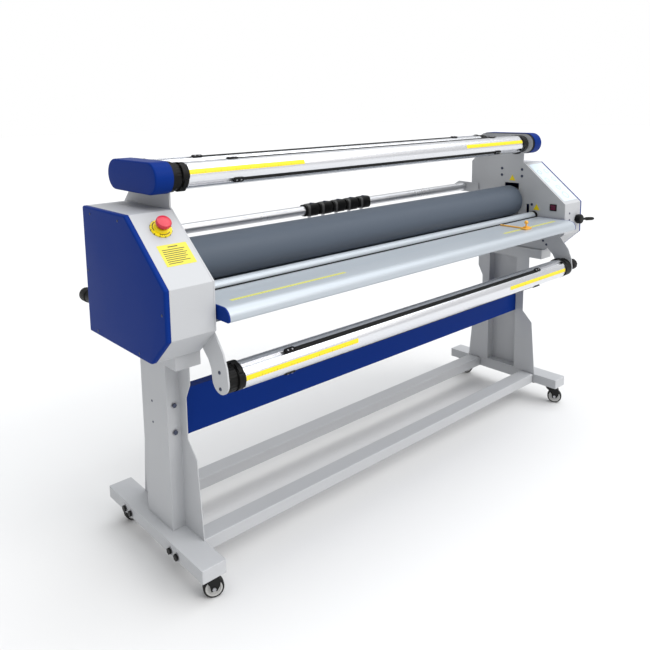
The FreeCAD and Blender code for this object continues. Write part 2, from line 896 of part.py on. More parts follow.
def make_drive():
    """A geared motor in the left casing drives the lower roller through a roller chain."""
    wheel = sprocket("roller_wheel", 18, D.roller_sprocket, D.journal, -D.roller_y, lower_roller_z(), [])
    sub_part("roller_sprocket", wheel)
    face = -D.sprocket_in + 6.0
    stub = rod("motor_stub", "x", D.motor_shaft, (-D.sprocket_out, face + 10.0), 0.0, D.motor_y, D.motor_z)
    small = sprocket("motor_wheel", 11, D.motor_sprocket, None, D.motor_y, D.motor_z, [stub])
    sub_part("motor_sprocket", small)
    near = (D.motor_y - D.gearbox_half, D.motor_y + D.gearbox_half)
    tall = (D.motor_z - D.gearbox_half, D.motor_z + D.gearbox_half)
    gearbox = block("gearbox", (face, -D.plate_face - D.plate_thick), near, tall)
    motor_x = (face - D.plate_face - D.plate_thick) / 2.0
    windings = rod(
        "motor_windings", "z", 30.0, (D.motor_z + D.gearbox_half, D.casing_top - 14.0), motor_x, D.motor_y
    )
    hole = rod(
        "gearbox_hole", "x", D.motor_shaft + D.running_gap, (face - 1.0, face + 12.0), 0.0, D.motor_y, D.motor_z
    )
    sub_part("drive_motor", cut("drive_motor_body", fuse("motor_blank", [gearbox, windings]), [hole]))
    sub_part("drive_chain", make_chain())


def belt_outline(first, first_radius, second, second_radius):
    """A closed wire round two circles in the YZ plane: two outer tangents and two arcs."""
    run = second - first
    lean = math.asin((first_radius - second_radius) / run.Length)
    heading = math.atan2(run.z, run.y)
    edges = []
    corners = []
    for side in (1, -1):
        turn = heading + side * (math.pi / 2 - lean)
        out = Vector(0, math.cos(turn), math.sin(turn))
        corners.append((first + out * first_radius, second + out * second_radius))
    along = Vector(0, math.cos(heading), math.sin(heading))
    (upper_first, upper_second), (lower_first, lower_second) = corners
    edges.append(Part.makeLine(upper_first, upper_second))
    edges.append(Part.Arc(upper_second, second + along * second_radius, lower_second).toShape())
    edges.append(Part.makeLine(lower_second, lower_first))
    edges.append(Part.Arc(lower_first, first - along * first_radius, upper_first).toShape())
    return Part.Face(Part.Wire(edges))


def make_chain():
    """The chain as a closed band round both wheels, with clearance inside."""
    inside = 0.8
    thick = 6.0
    x = -D.sprocket_out.value + 0.5
    wide = D.sprocket_out.value - D.sprocket_in.value - 1.0
    first = Vector(x, -D.roller_y.value, lower_roller_z().value)
    second = Vector(x, D.motor_y.value, D.motor_z.value)
    large = D.roller_sprocket.value
    small = D.motor_sprocket.value
    outer = belt_outline(first, large + inside + thick, second, small + inside + thick)
    inner = belt_outline(first, large + inside, second, small + inside)
    chain = doc.addObject("Part::Feature", "drive_chain_band")
    chain.Shape = outer.cut(inner).extrude(Vector(wide, 0, 0))
    return chain


# ---------------------------------------------------------------- web shafts

GROOVES = 3


def make_shaft(name, y, z, first_groove, skin, left, right, left_stop, right_stop, axle_end):
    """A grooved aluminium tube with gripping strips, on two hubs with axles."""
    body = new_body(f"{name}_body")
    ring = sketch_on(body, "YZ_Plane", -left)
    circle = Part.Circle(Vector(0, 0, 0), Vector(0, 0, 1), skin.value)
    ring.addGeometry(circle, False)
    ring.addConstraint(Sketcher.Constraint("Coincident", 0, 3, -1, 1))
    index = ring.addConstraint(Sketcher.Constraint("Radius", 0, skin.value))
    ring.setExpression(f"Constraints[{index}]", skin.text)
    pad(body, ring, left + right)
    bore = sketch_on(body, "YZ_Plane", -left)
    bore.addGeometry(Part.Circle(Vector(0, 0, 0), Vector(0, 0, 1), D.shaft_bore.value), False)
    bore.addConstraint(Sketcher.Constraint("Coincident", 0, 3, -1, 1))
    index = bore.addConstraint(Sketcher.Constraint("Radius", 0, D.shaft_bore.value))
    bore.setExpression(f"Constraints[{index}]", D.shaft_bore.text)
    pocket(body, bore, left + right)
    groove = sketch_on(body, "YZ_Plane", -left)
    half = D.groove_wide / 2.0
    low = skin - D.groove_deep
    draw_polygon(groove, [(-half, low), (half, low), (half, skin + 1.0), (-half, skin + 1.0)])
    slot = pocket(body, groove, left + right)
    pattern = body.newObject("PartDesign::PolarPattern", f"{name}_pattern")
    pattern.Originals = [slot]
    axis = next(feature for feature in body.Origin.OriginFeatures if feature.Role == "X_Axis")
    pattern.Axis = (axis, [""])
    pattern.Angle = 360
    pattern.Occurrences = GROOVES
    body.Tip = pattern
    place(body, as_size(0.0), y, z, Rotation(Vector(1, 0, 0), first_groove))
    doc.recompute()
    sub_part(name, body)

    strips = []
    for number in range(GROOVES):
        strip = doc.addObject("Part::Box", f"{name}_strip{number}")
        tie(strip, Length=D.grip_start + D.grip_stop, Width=D.grip_wide, Height=D.groove_deep - 0.3 + D.grip_proud)
        turn = Rotation(Vector(1, 0, 0), first_groove + 360.0 / GROOVES * number)
        seat = turn.multVec(Vector(0, -D.grip_wide.value / 2.0, skin.value - D.groove_deep.value + 0.3))
        place(strip, -D.grip_start, y + seat.y, z + seat.z, turn)
        strips.append(strip)

    flange = skin + (D.hub_flange - D.shaft_skin)
    grip = skin + (D.hub_grip - D.shaft_skin)
    hubs = []
    for side, end, stop in ((-1, left, left_stop), (1, right, right_stop)):
        outline = [
            (end - 40.0, 0.0),
            (end - 40.0, D.shaft_bore - 0.1),
            (end + 0.2, D.shaft_bore - 0.1),
            (end + 0.2, skin + 0.3),
            (end - D.hub_lip, skin + 0.3),
            (end - D.hub_lip, flange),
            (end + D.hub_rim, flange),
            (end + D.hub_rim, grip),
            (stop, grip),
            (stop, D.axle),
            (axle_end, D.axle),
            (axle_end, 0.0),
        ]
        stations = [(along * float(side), radius) for along, radius in outline]
        hubs.append(turned(f"{name}_hub{side + 1}", "x", stations, 0.0, y, z))
    return strips, hubs


def make_shafts():
    near_plate = D.plate_face - D.hub_gap
    near_arm = near_plate - D.arm_thick
    top_axle = D.plate_face + 44.0
    ends = (D.supply_left, D.supply_right, near_plate, D.supply_hub_right, top_axle)
    strips, hubs = make_shaft("supply_shaft", -D.supply_y, D.shaft_z, 5.0, D.shaft_skin, *ends)
    sub_part("supply_shaft_strips", group("supply_strip_group", strips))
    sub_part("supply_shaft_hubs", group("supply_hub_pair", hubs))
    strips, hubs = make_shaft("takeup_shaft", D.takeup_y, D.shaft_z, 15.0, D.shaft_skin - 3.0, *ends)
    sub_part("takeup_shaft_fittings", group("takeup_fitting_group", strips + hubs))
    ends = (D.lower_left, D.lower_right, near_arm, near_arm, D.plate_face - 2.0)
    strips, hubs = make_shaft("lower_shaft", -D.lower_y, D.lower_z, 35.0, D.shaft_skin, *ends)
    sub_part("lower_shaft_strips", group("lower_strip_group", strips))
    sub_part("lower_shaft_hubs", group("lower_hub_pair", hubs))
    face = D.plate_face
    knob = [
        (face + 0.3, 0.0),
        (face + 0.3, 16.0),
        (face + 8.0, 16.0),
        (face + 8.0, 11.0),
        (face + 39.0, 11.0),
        (face + 39.0, 19.0),
        (face + 43.0, 22.0),
        (face + 70.0, 22.0),
        (face + 77.0, 17.0),
        (face + 77.0, 0.0),
    ]
    sub_part("tension_knob", turned("tension_knob_body", "x", knob, 0.0, -D.lower_y, D.lower_z))


# ---------------------------------------------------------------- feed table and bars


def make_feed_table():
    outline = [
        (-D.table_rear, D.table_top),
        (-D.table_front, D.table_top),
        (-D.table_front, D.nose_base),
        (-D.nose_back, D.nose_base),
        (-D.nose_back, D.table_top - D.table_thick),
        (-D.table_rear, D.table_top - D.table_thick),
    ]
    body = side_profile("feed_table_body", outline, -D.table_half, D.table_half)
    cap = side_profile("end_cap_body", outline, D.table_half, D.table_half + D.cap_thick)
    for corner, radius in ((outline[1], D.nose_round), (outline[2], D.nose_foot)):
        for piece in (body, cap):
            fillet(piece, piece.Tip, edges_along_x(piece.Shape, [corner_values(corner)]), radius)
    sub_part("feed_table", body)
    sub_part("table_end_caps", group("end_cap_pair", [cap, mirrored("end_cap_twin", cap)]))


def make_idler():
    y = -D.idler_y
    tube = [
        (-D.idler_half - 12.0, 0.0),
        (-D.idler_half - 12.0, D.idler_pin),
        (-D.idler_half, D.idler_pin),
        (-D.idler_half, D.idler_skin),
        (D.idler_half, D.idler_skin),
        (D.idler_half, D.idler_pin),
        (D.idler_half + 12.0, D.idler_pin),
        (D.idler_half + 12.0, 0.0),
    ]
    sub_part("idler_roller", turned("idler_body", "x", tube, 0.0, y, D.idler_z))


def make_rear_bar():
    ring = [
        (-D.bar_half, D.bar_skin - 3.0),
        (-D.bar_half, D.bar_skin),
        (D.bar_half, D.bar_skin),
        (D.bar_half, D.bar_skin - 3.0),
    ]
    sub_part("slitter_bar", turned("slitter_bar_body", "x", ring, 0.0, D.bar_y, D.bar_z))
    outline = [
        (140.0, 896.0),
        (242.0, 896.0),
        (250.0, 912.0),
        (272.0, 920.0),
        (272.0, 926.0),
        (247.0, 942.0),
        (140.0, 938.0),
    ]
    right = side_profile("bar_bracket", outline, D.bar_half, D.plate_face)
    sub_part("slitter_bar_brackets", group("bar_bracket_pair", [right, mirrored("bar_bracket_twin", right)]))


def make_slitters():
    """Sliding knife holders, each with a clamp screw on top and a blade below."""
    half = D.slitter_long / 2.0
    for number in range(5):
        name = f"slitter_{number + 1}"
        x = D.slitter_first + D.slitter_pitch * float(number)
        body = block(
            f"{name}_body",
            (x - half, x + half),
            (D.bar_y - D.slitter_deep / 2.0, D.bar_y + D.slitter_deep / 2.0),
            (D.bar_z - D.slitter_tall / 2.0, D.bar_z + D.slitter_tall / 2.0),
        )
        hole = rod(
            f"{name}_hole", "x", D.bar_skin + D.running_gap, (x - half - 1.0, x + half + 1.0), 0.0, D.bar_y, D.bar_z
        )
        holder = cut(f"{name}_holder", body, [hole])
        base = D.bar_z + D.slitter_tall / 2.0
        screw = rod(f"{name}_screw", "z", 7.0, (base, base + 3.0), x, D.bar_y)
        low = D.bar_z - D.slitter_tall / 2.0
        blade = block(f"{name}_blade", (x - 1.0, x + 1.0), (D.bar_y - 12.0, D.bar_y + 12.0), (low - 14.0, low))
        sub_part(name, fuse(f"{name}_whole", [holder, screw, blade]))


def make_edge_guide():
    """A pointer that slides along the feed table to line up the media, with a ball to hold it by."""
    base = D.table_top + D.guide_lift
    x = D.guide_x
    y = -D.guide_y
    foot = block("guide_foot", (x - 22.0, x + 22.0), (y - 14.0, y + 14.0), (base, base + 8.0))
    arm = block("guide_arm", (x - 5.0, x + 5.0), (y + 10.0, y + 114.0), (base, base + 4.0))
    stem = rod("guide_stem", "z", 3.0, (base + 6.0, base + 22.0), x, y)
    ball = doc.addObject("Part::Sphere", "guide_ball")
    tie(ball, Radius=8.0)
    place(ball, x, y, base + 26.0)
    sub_part("edge_guide", fuse("edge_guide_whole", [foot, arm, stem, ball]))


# ---------------------------------------------------------------- controls

SLOPE_RISE = D.casing_top - D.slope_low
SLOPE_RUN = D.casing_front - D.slope_top
SLOPE_LENGTH = math.hypot(SLOPE_RISE.value, SLOPE_RUN.value)
SLOPE_LEAN = angle_of(SLOPE_RISE, SLOPE_RUN)


def on_slope(obj, x, down, out):
    """Stand obj, built along +Z, on the sloping panel, a distance down it and out from it."""
    run = SLOPE_RUN / SLOPE_LENGTH
    rise = SLOPE_RISE / SLOPE_LENGTH
    place(
        obj,
        as_size(x),
        -D.slope_top - down * run - out * rise,
        D.casing_top - down * rise + out * run,
        Rotation(Vector(1, 0, 0), SLOPE_LEAN.value),
    )
    tie(obj, Placement__Rotation__Angle=SLOPE_LEAN)
    return obj


def turned_on_slope(name, stations, x, down):
    """A turned piece whose axis stands square to the sloping panel."""
    body = new_body(name)
    sketch = sketch_on(body, "YZ_Plane")
    draw_polygon(sketch, [(radius, along) for along, radius in stations])
    feature = body.newObject("PartDesign::Revolution", name + "_turn")
    feature.Profile = sketch
    feature.ReferenceAxis = (sketch, ["V_Axis"])
    on_slope(body, x, down, as_size(0.0))
    doc.recompute()
    return body


def make_emergency_stop():
    bore = D.stop_stem + D.running_gap
    base = [
        (0.0, bore),
        (0.0, D.stop_base),
        (4.0, D.stop_base),
        (6.0, D.stop_base - 2.0),
        (6.0, 18.0),
        (14.0, 16.5),
        (14.0, bore),
    ]
    sub_part("estop_base", turned_on_slope("estop_base_body", base, -D.stop_x, D.stop_down))
    cap = [
        (8.0, 0.0),
        (8.0, D.stop_stem),
        (21.0, D.stop_stem),
        (21.0, D.stop_cap - 2.0),
        (24.0, D.stop_cap),
        (31.0, D.stop_cap),
        (35.0, D.stop_cap - 5.0),
        (37.0, 8.0),
        (37.0, 0.0),
    ]
    sub_part("estop_button", turned_on_slope("estop_button_body", cap, -D.stop_x, D.stop_down))


def make_control_panel():
    overlay = doc.addObject("Part::Box", "control_overlay")
    tie(overlay, Length=106.0, Width=222.0, Height=1.0)
    down = as_size(232.0)
    sub_part("control_panel", on_slope(overlay, as_size(875.0), down, as_size(0.0)))


def make_rocker():
    """The power switch: a rocker that tips in a hole in the right side plate."""
    half_y = D.rocker_hole_y - 1.0
    y = -D.rocker_y
    z = D.rocker_z
    inner = D.plate_face - 3.0
    outline = [(inner - 1.6, -11.5), (inner + 0.8, 0.0), (inner - 1.6, 11.5), (inner + 8.0, 11.5), (inner + 8.0, -11.5)]
    body = new_body("rocker_body")
    sketch = sketch_on(body, "XZ_Plane", -half_y)
    draw_polygon(sketch, [(x, z + up) for x, up in outline])
    pad(body, sketch, 2.0 * half_y)
    place(body, as_size(0.0), y, as_size(0.0))
    sub_part("power_rocker", body)


def make_lift_lever():
    """The lever that raises the upper roller: a hub on the casing's front and a cranked handle."""
    y = -D.casing_front - 0.5
    hub = [
        (0.0, 0.0),
        (0.0, 17.0),
        (4.0, D.lever_hub),
        (20.0, D.lever_hub),
        (24.0, 16.0),
        (24.0, 0.0),
    ]
    knob = turned("lever_hub", "y", [(-along, radius) for along, radius in hub], D.lever_x, y, D.lever_z)
    lean = Rotation(Vector(0, 0, 1), -5.5) * Rotation(Vector(0, 1, 0), 5.5) * TURN["x"]
    along = lean.multVec(Vector(0, 0, 1))
    reach = D.lever_tip - D.lever_x
    arm = doc.addObject("Part::Cylinder", "lever_arm")
    tie(arm, Radius=5.0, Height=reach * 0.5)
    place(arm, D.lever_x, y - 14.0, D.lever_z, lean)
    grip = doc.addObject("Part::Cylinder", "lever_grip")
    tie(grip, Radius=7.5, Height=reach * 0.6)
    start = reach * 0.4
    place(grip, D.lever_x + start * along.x, y - 14.0 + start * along.y, D.lever_z + start * along.z, lean)
    sub_part("lift_lever", fuse("lift_lever_whole", [knob, arm, grip]))


def make_power_inlet():
    """The mains inlet at the back of the left casing."""
    y = D.casing_rear
    stations = [
        (0.0, 0.0),
        (0.0, D.inlet_skin),
        (8.0, D.inlet_skin),
        (8.0, D.inlet_skin - 3.0),
        (52.0, D.inlet_skin - 3.0),
        (52.0, D.inlet_skin),
        (88.0, D.inlet_skin),
        (88.0, 12.0),
        (60.0, 12.0),
        (60.0, 0.0),
    ]
    sub_part("power_inlet", turned("power_inlet_body", "y", stations, -D.inlet_x, y, D.inlet_z))


# ---------------------------------------------------------------- casters


def make_caster(name, side, sign, heading):
    """A swivel fork on a stem, and its wheel on a cross pin; heading turns the fork about the stem."""
    x = D.caster_x * side
    y = D.caster_y * sign
    turn = Rotation(Vector(0, 0, 1), heading)
    trail = -D.caster_trail
    wheel_z = D.wheel_skin
    crown = rod(f"{name}_crown", "z", 20.0, (D.foot_base - 10.0, D.foot_base - 0.5))
    stem = rod(f"{name}_stem", "z", D.caster_stem, (D.foot_base - 10.0, D.foot_base + 16.0))
    inner = D.wheel_wide / 2.0 + 1.5
    outer = inner + 3.0
    bridge = block(
        f"{name}_bridge",
        (-outer, outer),
        (trail - 12.0, as_size(16.0)),
        (D.foot_base - 15.0, D.foot_base - 10.0),
    )
    cheeks = []
    for number, (low, high) in enumerate(((-outer, -inner), (inner, outer))):
        cheeks.append(
            block(
                f"{name}_cheek{number}",
                (low, high),
                (trail - 12.0, trail + 22.0),
                (wheel_z - 8.0, D.foot_base - 10.0),
            )
        )
    pin = rod(f"{name}_pin", "x", D.wheel_pin, (-outer - 2.0, outer + 2.0), 0.0, trail, wheel_z)
    fork = fuse(f"{name}_fork_whole", [crown, stem, bridge, *cheeks, pin])
    sub_part(f"{name}_fork", place(fork, x, y, as_size(0.0), turn))
    half = D.wheel_wide / 2.0
    bore = D.wheel_pin + D.running_gap
    tyre = [
        (-half, bore),
        (-half, 11.0),
        (-half + 3.0, 12.0),
        (-half + 3.0, 20.0),
        (-half, 21.0),
        (-half, D.wheel_skin - 3.0),
        (-half + 3.0, D.wheel_skin),
        (half - 3.0, D.wheel_skin),
        (half, D.wheel_skin - 3.0),
        (half, 21.0),
        (half - 3.0, 20.0),
        (half - 3.0, 12.0),
        (half, 11.0),
        (half, bore),
    ]
    wheel = turned(f"{name}_wheel_body", "x", tyre)
    behind = turn.multVec(Vector(0, 1, 0))
    sub_part(f"{name}_wheel", place(wheel, x + trail * behind.x, y + trail * behind.y, wheel_z, turn))


def make_casters():
    for name, side, sign, heading in (
        ("front_left_caster", -1, -1, 66.0),
        ("front_right_caster", 1, -1, 28.0),
        ("rear_left_caster", -1, 1, 90.0),
        ("rear_right_caster", 1, 1, 20.0),
    ):
        make_caster(name, side, sign, heading)


def build():
    make_foot_bars()
    make_cross_beams()
    make_posts()
    make_top_bars()
    make_tie_panel()
    make_frame_bolts()
    make_levellers()
    make_casings()
    make_side_covers()
    make_side_plates()
    make_top_covers()
    make_panel_screws()
    make_lower_arms()
    make_roller("top_roller", D.roller_z, D.bearing_end)
    make_roller("bottom_roller", lower_roller_z(), D.sprocket_out)
    make_bearings()
    make_drive()
    make_shafts()
    make_feed_table()
    make_idler()
    make_rear_bar()
    make_slitters()
    make_edge_guide()
    make_emergency_stop()
    make_control_panel()
    make_rocker()
    make_lift_lever()
    make_power_inlet()
    make_casters()
    doc.recompute()


def check():
    for obj in doc.Objects:
        if "Invalid" in obj.State or "Error" in obj.State:
            raise RuntimeError(f"{obj.Name} did not compute: {obj.State}")
    for obj in sub_parts:
        if obj.Shape.isNull() or not obj.Shape.isValid() or not obj.Shape.Solids:
            raise RuntimeError(f"{obj.Label} has no valid solid")


def write():
    os.makedirs("parts", exist_ok=True)
    for obj in sub_parts:
        obj.Shape.exportStep(f"parts/{obj.Label}.step")
    print(f"{len(sub_parts)} sub-parts written")


build()
check()
write()
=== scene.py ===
import json
import math

import bmesh
import bpy
from mathutils import Matrix, Vector


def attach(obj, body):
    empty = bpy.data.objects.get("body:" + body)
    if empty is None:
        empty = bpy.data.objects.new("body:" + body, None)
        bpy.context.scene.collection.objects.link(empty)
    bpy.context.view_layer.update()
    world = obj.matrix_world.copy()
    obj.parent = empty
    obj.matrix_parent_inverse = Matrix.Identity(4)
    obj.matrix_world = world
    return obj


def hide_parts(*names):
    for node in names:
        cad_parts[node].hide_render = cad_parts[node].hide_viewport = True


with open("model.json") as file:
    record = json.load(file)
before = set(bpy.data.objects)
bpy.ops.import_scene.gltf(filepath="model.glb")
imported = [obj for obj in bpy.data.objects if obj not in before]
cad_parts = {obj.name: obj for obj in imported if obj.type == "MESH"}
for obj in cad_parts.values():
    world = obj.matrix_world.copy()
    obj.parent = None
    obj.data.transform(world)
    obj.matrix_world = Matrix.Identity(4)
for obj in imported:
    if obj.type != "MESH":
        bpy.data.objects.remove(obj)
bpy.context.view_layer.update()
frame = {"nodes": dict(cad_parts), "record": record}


def make_camera():
    """The view the machine is shown from: low, from its front left."""
    azimuth, elevation, roll = (math.radians(angle) for angle in (-40.665, 8.735, -1.006))
    back = Vector((
        math.sin(azimuth) * math.cos(elevation),
        -math.cos(azimuth) * math.cos(elevation),
        math.sin(elevation),
    ))
    level = Vector((math.cos(azimuth), math.sin(azimuth), 0.0))
    right = level * math.cos(roll) + back.cross(level) * math.sin(roll)
    up = back.cross(right)
    data = bpy.data.cameras.new("camera")
    data.sensor_width = 36.0
    data.lens = 37.43
    data.shift_x = 0.0386
    data.shift_y = -0.1807
    data.clip_start = 0.1
    data.clip_end = 100.0
    camera = bpy.data.objects.new("camera", data)
    turn = Matrix((right, up, back)).transposed().to_4x4()
    camera.matrix_world = Matrix.Translation((-1.75845, -1.651, 1.31072)) @ turn
    bpy.context.scene.collection.objects.link(camera)
    bpy.context.scene.camera = camera


make_camera()

# ---------------------------------------------------------------- finishes


def grey(level):
    """A neutral colour."""
    return (level, level, level)


def make_finish(
    name, colour, roughness, metallic=0.0, grain=700.0, relief=0.00004, mottle=0.03,
    stretch=(1.0, 1.0, 1.0), coat=0.0, waviness=5.0, sheen=0.08, glare=0.4,
):
    """A procedural finish: slight colour and gloss changes over the surface, and a fine relief."""
    material = bpy.data.materials.new(name)
    material.use_nodes = True
    nodes = material.node_tree.nodes
    links = material.node_tree.links
    shader = nodes["Principled BSDF"]
    shader.inputs["Metallic"].default_value = metallic
    shader.inputs["Specular IOR Level"].default_value = glare
    shader.inputs["Coat Weight"].default_value = coat
    shader.inputs["Coat Roughness"].default_value = 0.12
    place = nodes.new("ShaderNodeTexCoord")
    mapping = nodes.new("ShaderNodeMapping")
    mapping.inputs["Scale"].default_value = stretch
    links.new(place.outputs["Object"], mapping.inputs["Vector"])

    def noise(scale, detail, vector):
        texture = nodes.new("ShaderNodeTexNoise")
        texture.inputs["Scale"].default_value = scale
        texture.inputs["Detail"].default_value = detail
        links.new(vector, texture.inputs["Vector"])
        return texture.outputs["Fac"]

    broad = noise(waviness, 4.0, place.outputs["Object"])
    fine = noise(grain, 3.0, mapping.outputs["Vector"])

    blend = nodes.new("ShaderNodeMix")
    blend.data_type = "RGBA"
    blend.inputs["A"].default_value = (*[max(c * (1.0 - mottle), 0.0) for c in colour], 1.0)
    blend.inputs["B"].default_value = (*[min(c * (1.0 + mottle), 1.0) for c in colour], 1.0)
    links.new(broad, blend.inputs["Factor"])
    links.new(blend.outputs["Result"], shader.inputs["Base Color"])

    gloss = nodes.new("ShaderNodeMapRange")
    gloss.inputs["From Min"].default_value = 0.3
    gloss.inputs["From Max"].default_value = 0.7
    gloss.inputs["To Min"].default_value = max(roughness - sheen, 0.03)
    gloss.inputs["To Max"].default_value = min(roughness + sheen, 1.0)
    spread = nodes.new("ShaderNodeMath")
    spread.operation = "MULTIPLY_ADD"
    spread.inputs[1].default_value = 0.35
    links.new(fine, spread.inputs[0])
    scaled = nodes.new("ShaderNodeMath")
    scaled.operation = "MULTIPLY"
    scaled.inputs[1].default_value = 0.65
    links.new(broad, scaled.inputs[0])
    links.new(scaled.outputs["Value"], spread.inputs[2])
    links.new(spread.outputs["Value"], gloss.inputs["Value"])
    links.new(gloss.outputs["Result"], shader.inputs["Roughness"])

    bump = nodes.new("ShaderNodeBump")
    bump.inputs["Strength"].default_value = 1.0
    bump.inputs["Distance"].default_value = relief
    links.new(fine, bump.inputs["Height"])
    links.new(bump.outputs["Normal"], shader.inputs["Normal"])
    return material


ALONG_X = (0.01, 1.0, 1.0)
FINISHES = {
    "frame_paint": make_finish("frame_powder", (0.462, 0.472, 0.488), 0.46, grain=900.0, relief=0.00003),
    "cover_paint": make_finish(
        "cover_powder", (0.004, 0.026, 0.185), 0.36, grain=900.0, relief=0.00003, glare=0.03,
    ),
    "black_steel": make_finish("black_oxide", grey(0.012), 0.42, metallic=0.2, grain=1200.0, glare=0.2),
    "black_plastic": make_finish(
        "black_moulding", grey(0.006), 0.42, grain=1500.0, relief=0.00002, glare=0.12,
    ),
    "motor_paint": make_finish("motor_enamel", (0.05, 0.055, 0.06), 0.4),
    "chain_steel": make_finish("oiled_steel", (0.36, 0.35, 0.34), 0.36, metallic=1.0, mottle=0.12),
    "table_aluminium": make_finish(
        "table_satin", (0.43, 0.47, 0.51), 0.32, metallic=0.25, grain=300.0, relief=0.000001, mottle=0.01,
        stretch=ALONG_X, waviness=2.0, sheen=0.04,
    ),
    "roller_steel": make_finish(
        "ground_steel", (0.62, 0.63, 0.65), 0.30, metallic=0.8, grain=400.0, relief=0.000001,
        stretch=(1.0, 0.03, 0.03), sheen=0.04,
    ),
    "roller_rubber": make_finish(
        "ground_rubber", (0.085, 0.105, 0.135), 0.50, grain=500.0, relief=0.00003, mottle=0.04,
        stretch=(1.0, 0.3, 0.3), glare=0.2,
    ),
    "overlay_blue": make_finish("overlay_film", (0.62, 0.72, 0.80), 0.38, grain=1600.0, relief=0.00001),
    "signal_yellow": make_finish("yellow_moulding", (0.84, 0.66, 0.003), 0.36, grain=1500.0, relief=0.00001),
    "signal_red": make_finish(
        "red_moulding", (0.56, 0.020, 0.045), 0.28, grain=1500.0, relief=0.00001, coat=0.2,
    ),
    "guide_orange": make_finish("orange_moulding", (0.78, 0.40, 0.05), 0.34, grain=1500.0, relief=0.00001),
    "shaft_aluminium": make_finish(
        "drawn_aluminium", (0.74, 0.75, 0.78), 0.26, metallic=0.8, grain=300.0, relief=0.000001, mottle=0.01,
        stretch=ALONG_X, waviness=2.0, sheen=0.03,
    ),
    "strip_rubber": make_finish("strip_compound", grey(0.008), 0.60, grain=900.0, relief=0.00005, glare=0.2),
    "caster_rubber": make_finish(
        "wheel_compound", grey(0.009), 0.50, grain=900.0, relief=0.00004, glare=0.25,
    ),
}
LABEL = make_finish("label_film", (0.66, 0.58, 0.05), 0.42, grain=1600.0, relief=0.00001)
TAPE = make_finish("tape_film", (0.86, 0.67, 0.01), 0.40, grain=1600.0, relief=0.00001)
PALE_TAPE = make_finish("pale_tape_film", (0.60, 0.60, 0.12), 0.40, grain=1600.0, relief=0.00001)
PRINT = make_finish("printed_marks", (0.05, 0.045, 0.02), 0.5, grain=1600.0, relief=0.00001)
PALE_PRINT = make_finish("pale_print", (0.40, 0.48, 0.56), 0.5, grain=1600.0, relief=0.00001)
SCREW = make_finish("zinc_screws", (0.42, 0.42, 0.44), 0.34, metallic=0.9, grain=900.0)
DARK_SCREW = make_finish("dark_screws", (0.07, 0.08, 0.12), 0.36, metallic=0.6, grain=900.0)
PALE_HUB = make_finish("pale_hub_moulding", (0.46, 0.46, 0.45), 0.5, grain=1200.0)
GREY_HUB = make_finish("grey_moulding", grey(0.055), 0.5, grain=1200.0)
MAROON = make_finish("rocker_moulding", (0.10, 0.004, 0.03), 0.3, grain=1500.0, relief=0.00001)

# ---------------------------------------------------------------- building


def soften(obj, width, angle=35.0, segments=2):
    """Small rounded edges, as on folded sheet and moulded parts."""
    bevel = obj.modifiers.new("edges", "BEVEL")
    bevel.width = width
    bevel.segments = segments
    bevel.limit_method = "ANGLE"
    bevel.angle_limit = math.radians(angle)
    bevel.harden_normals = True
    return obj


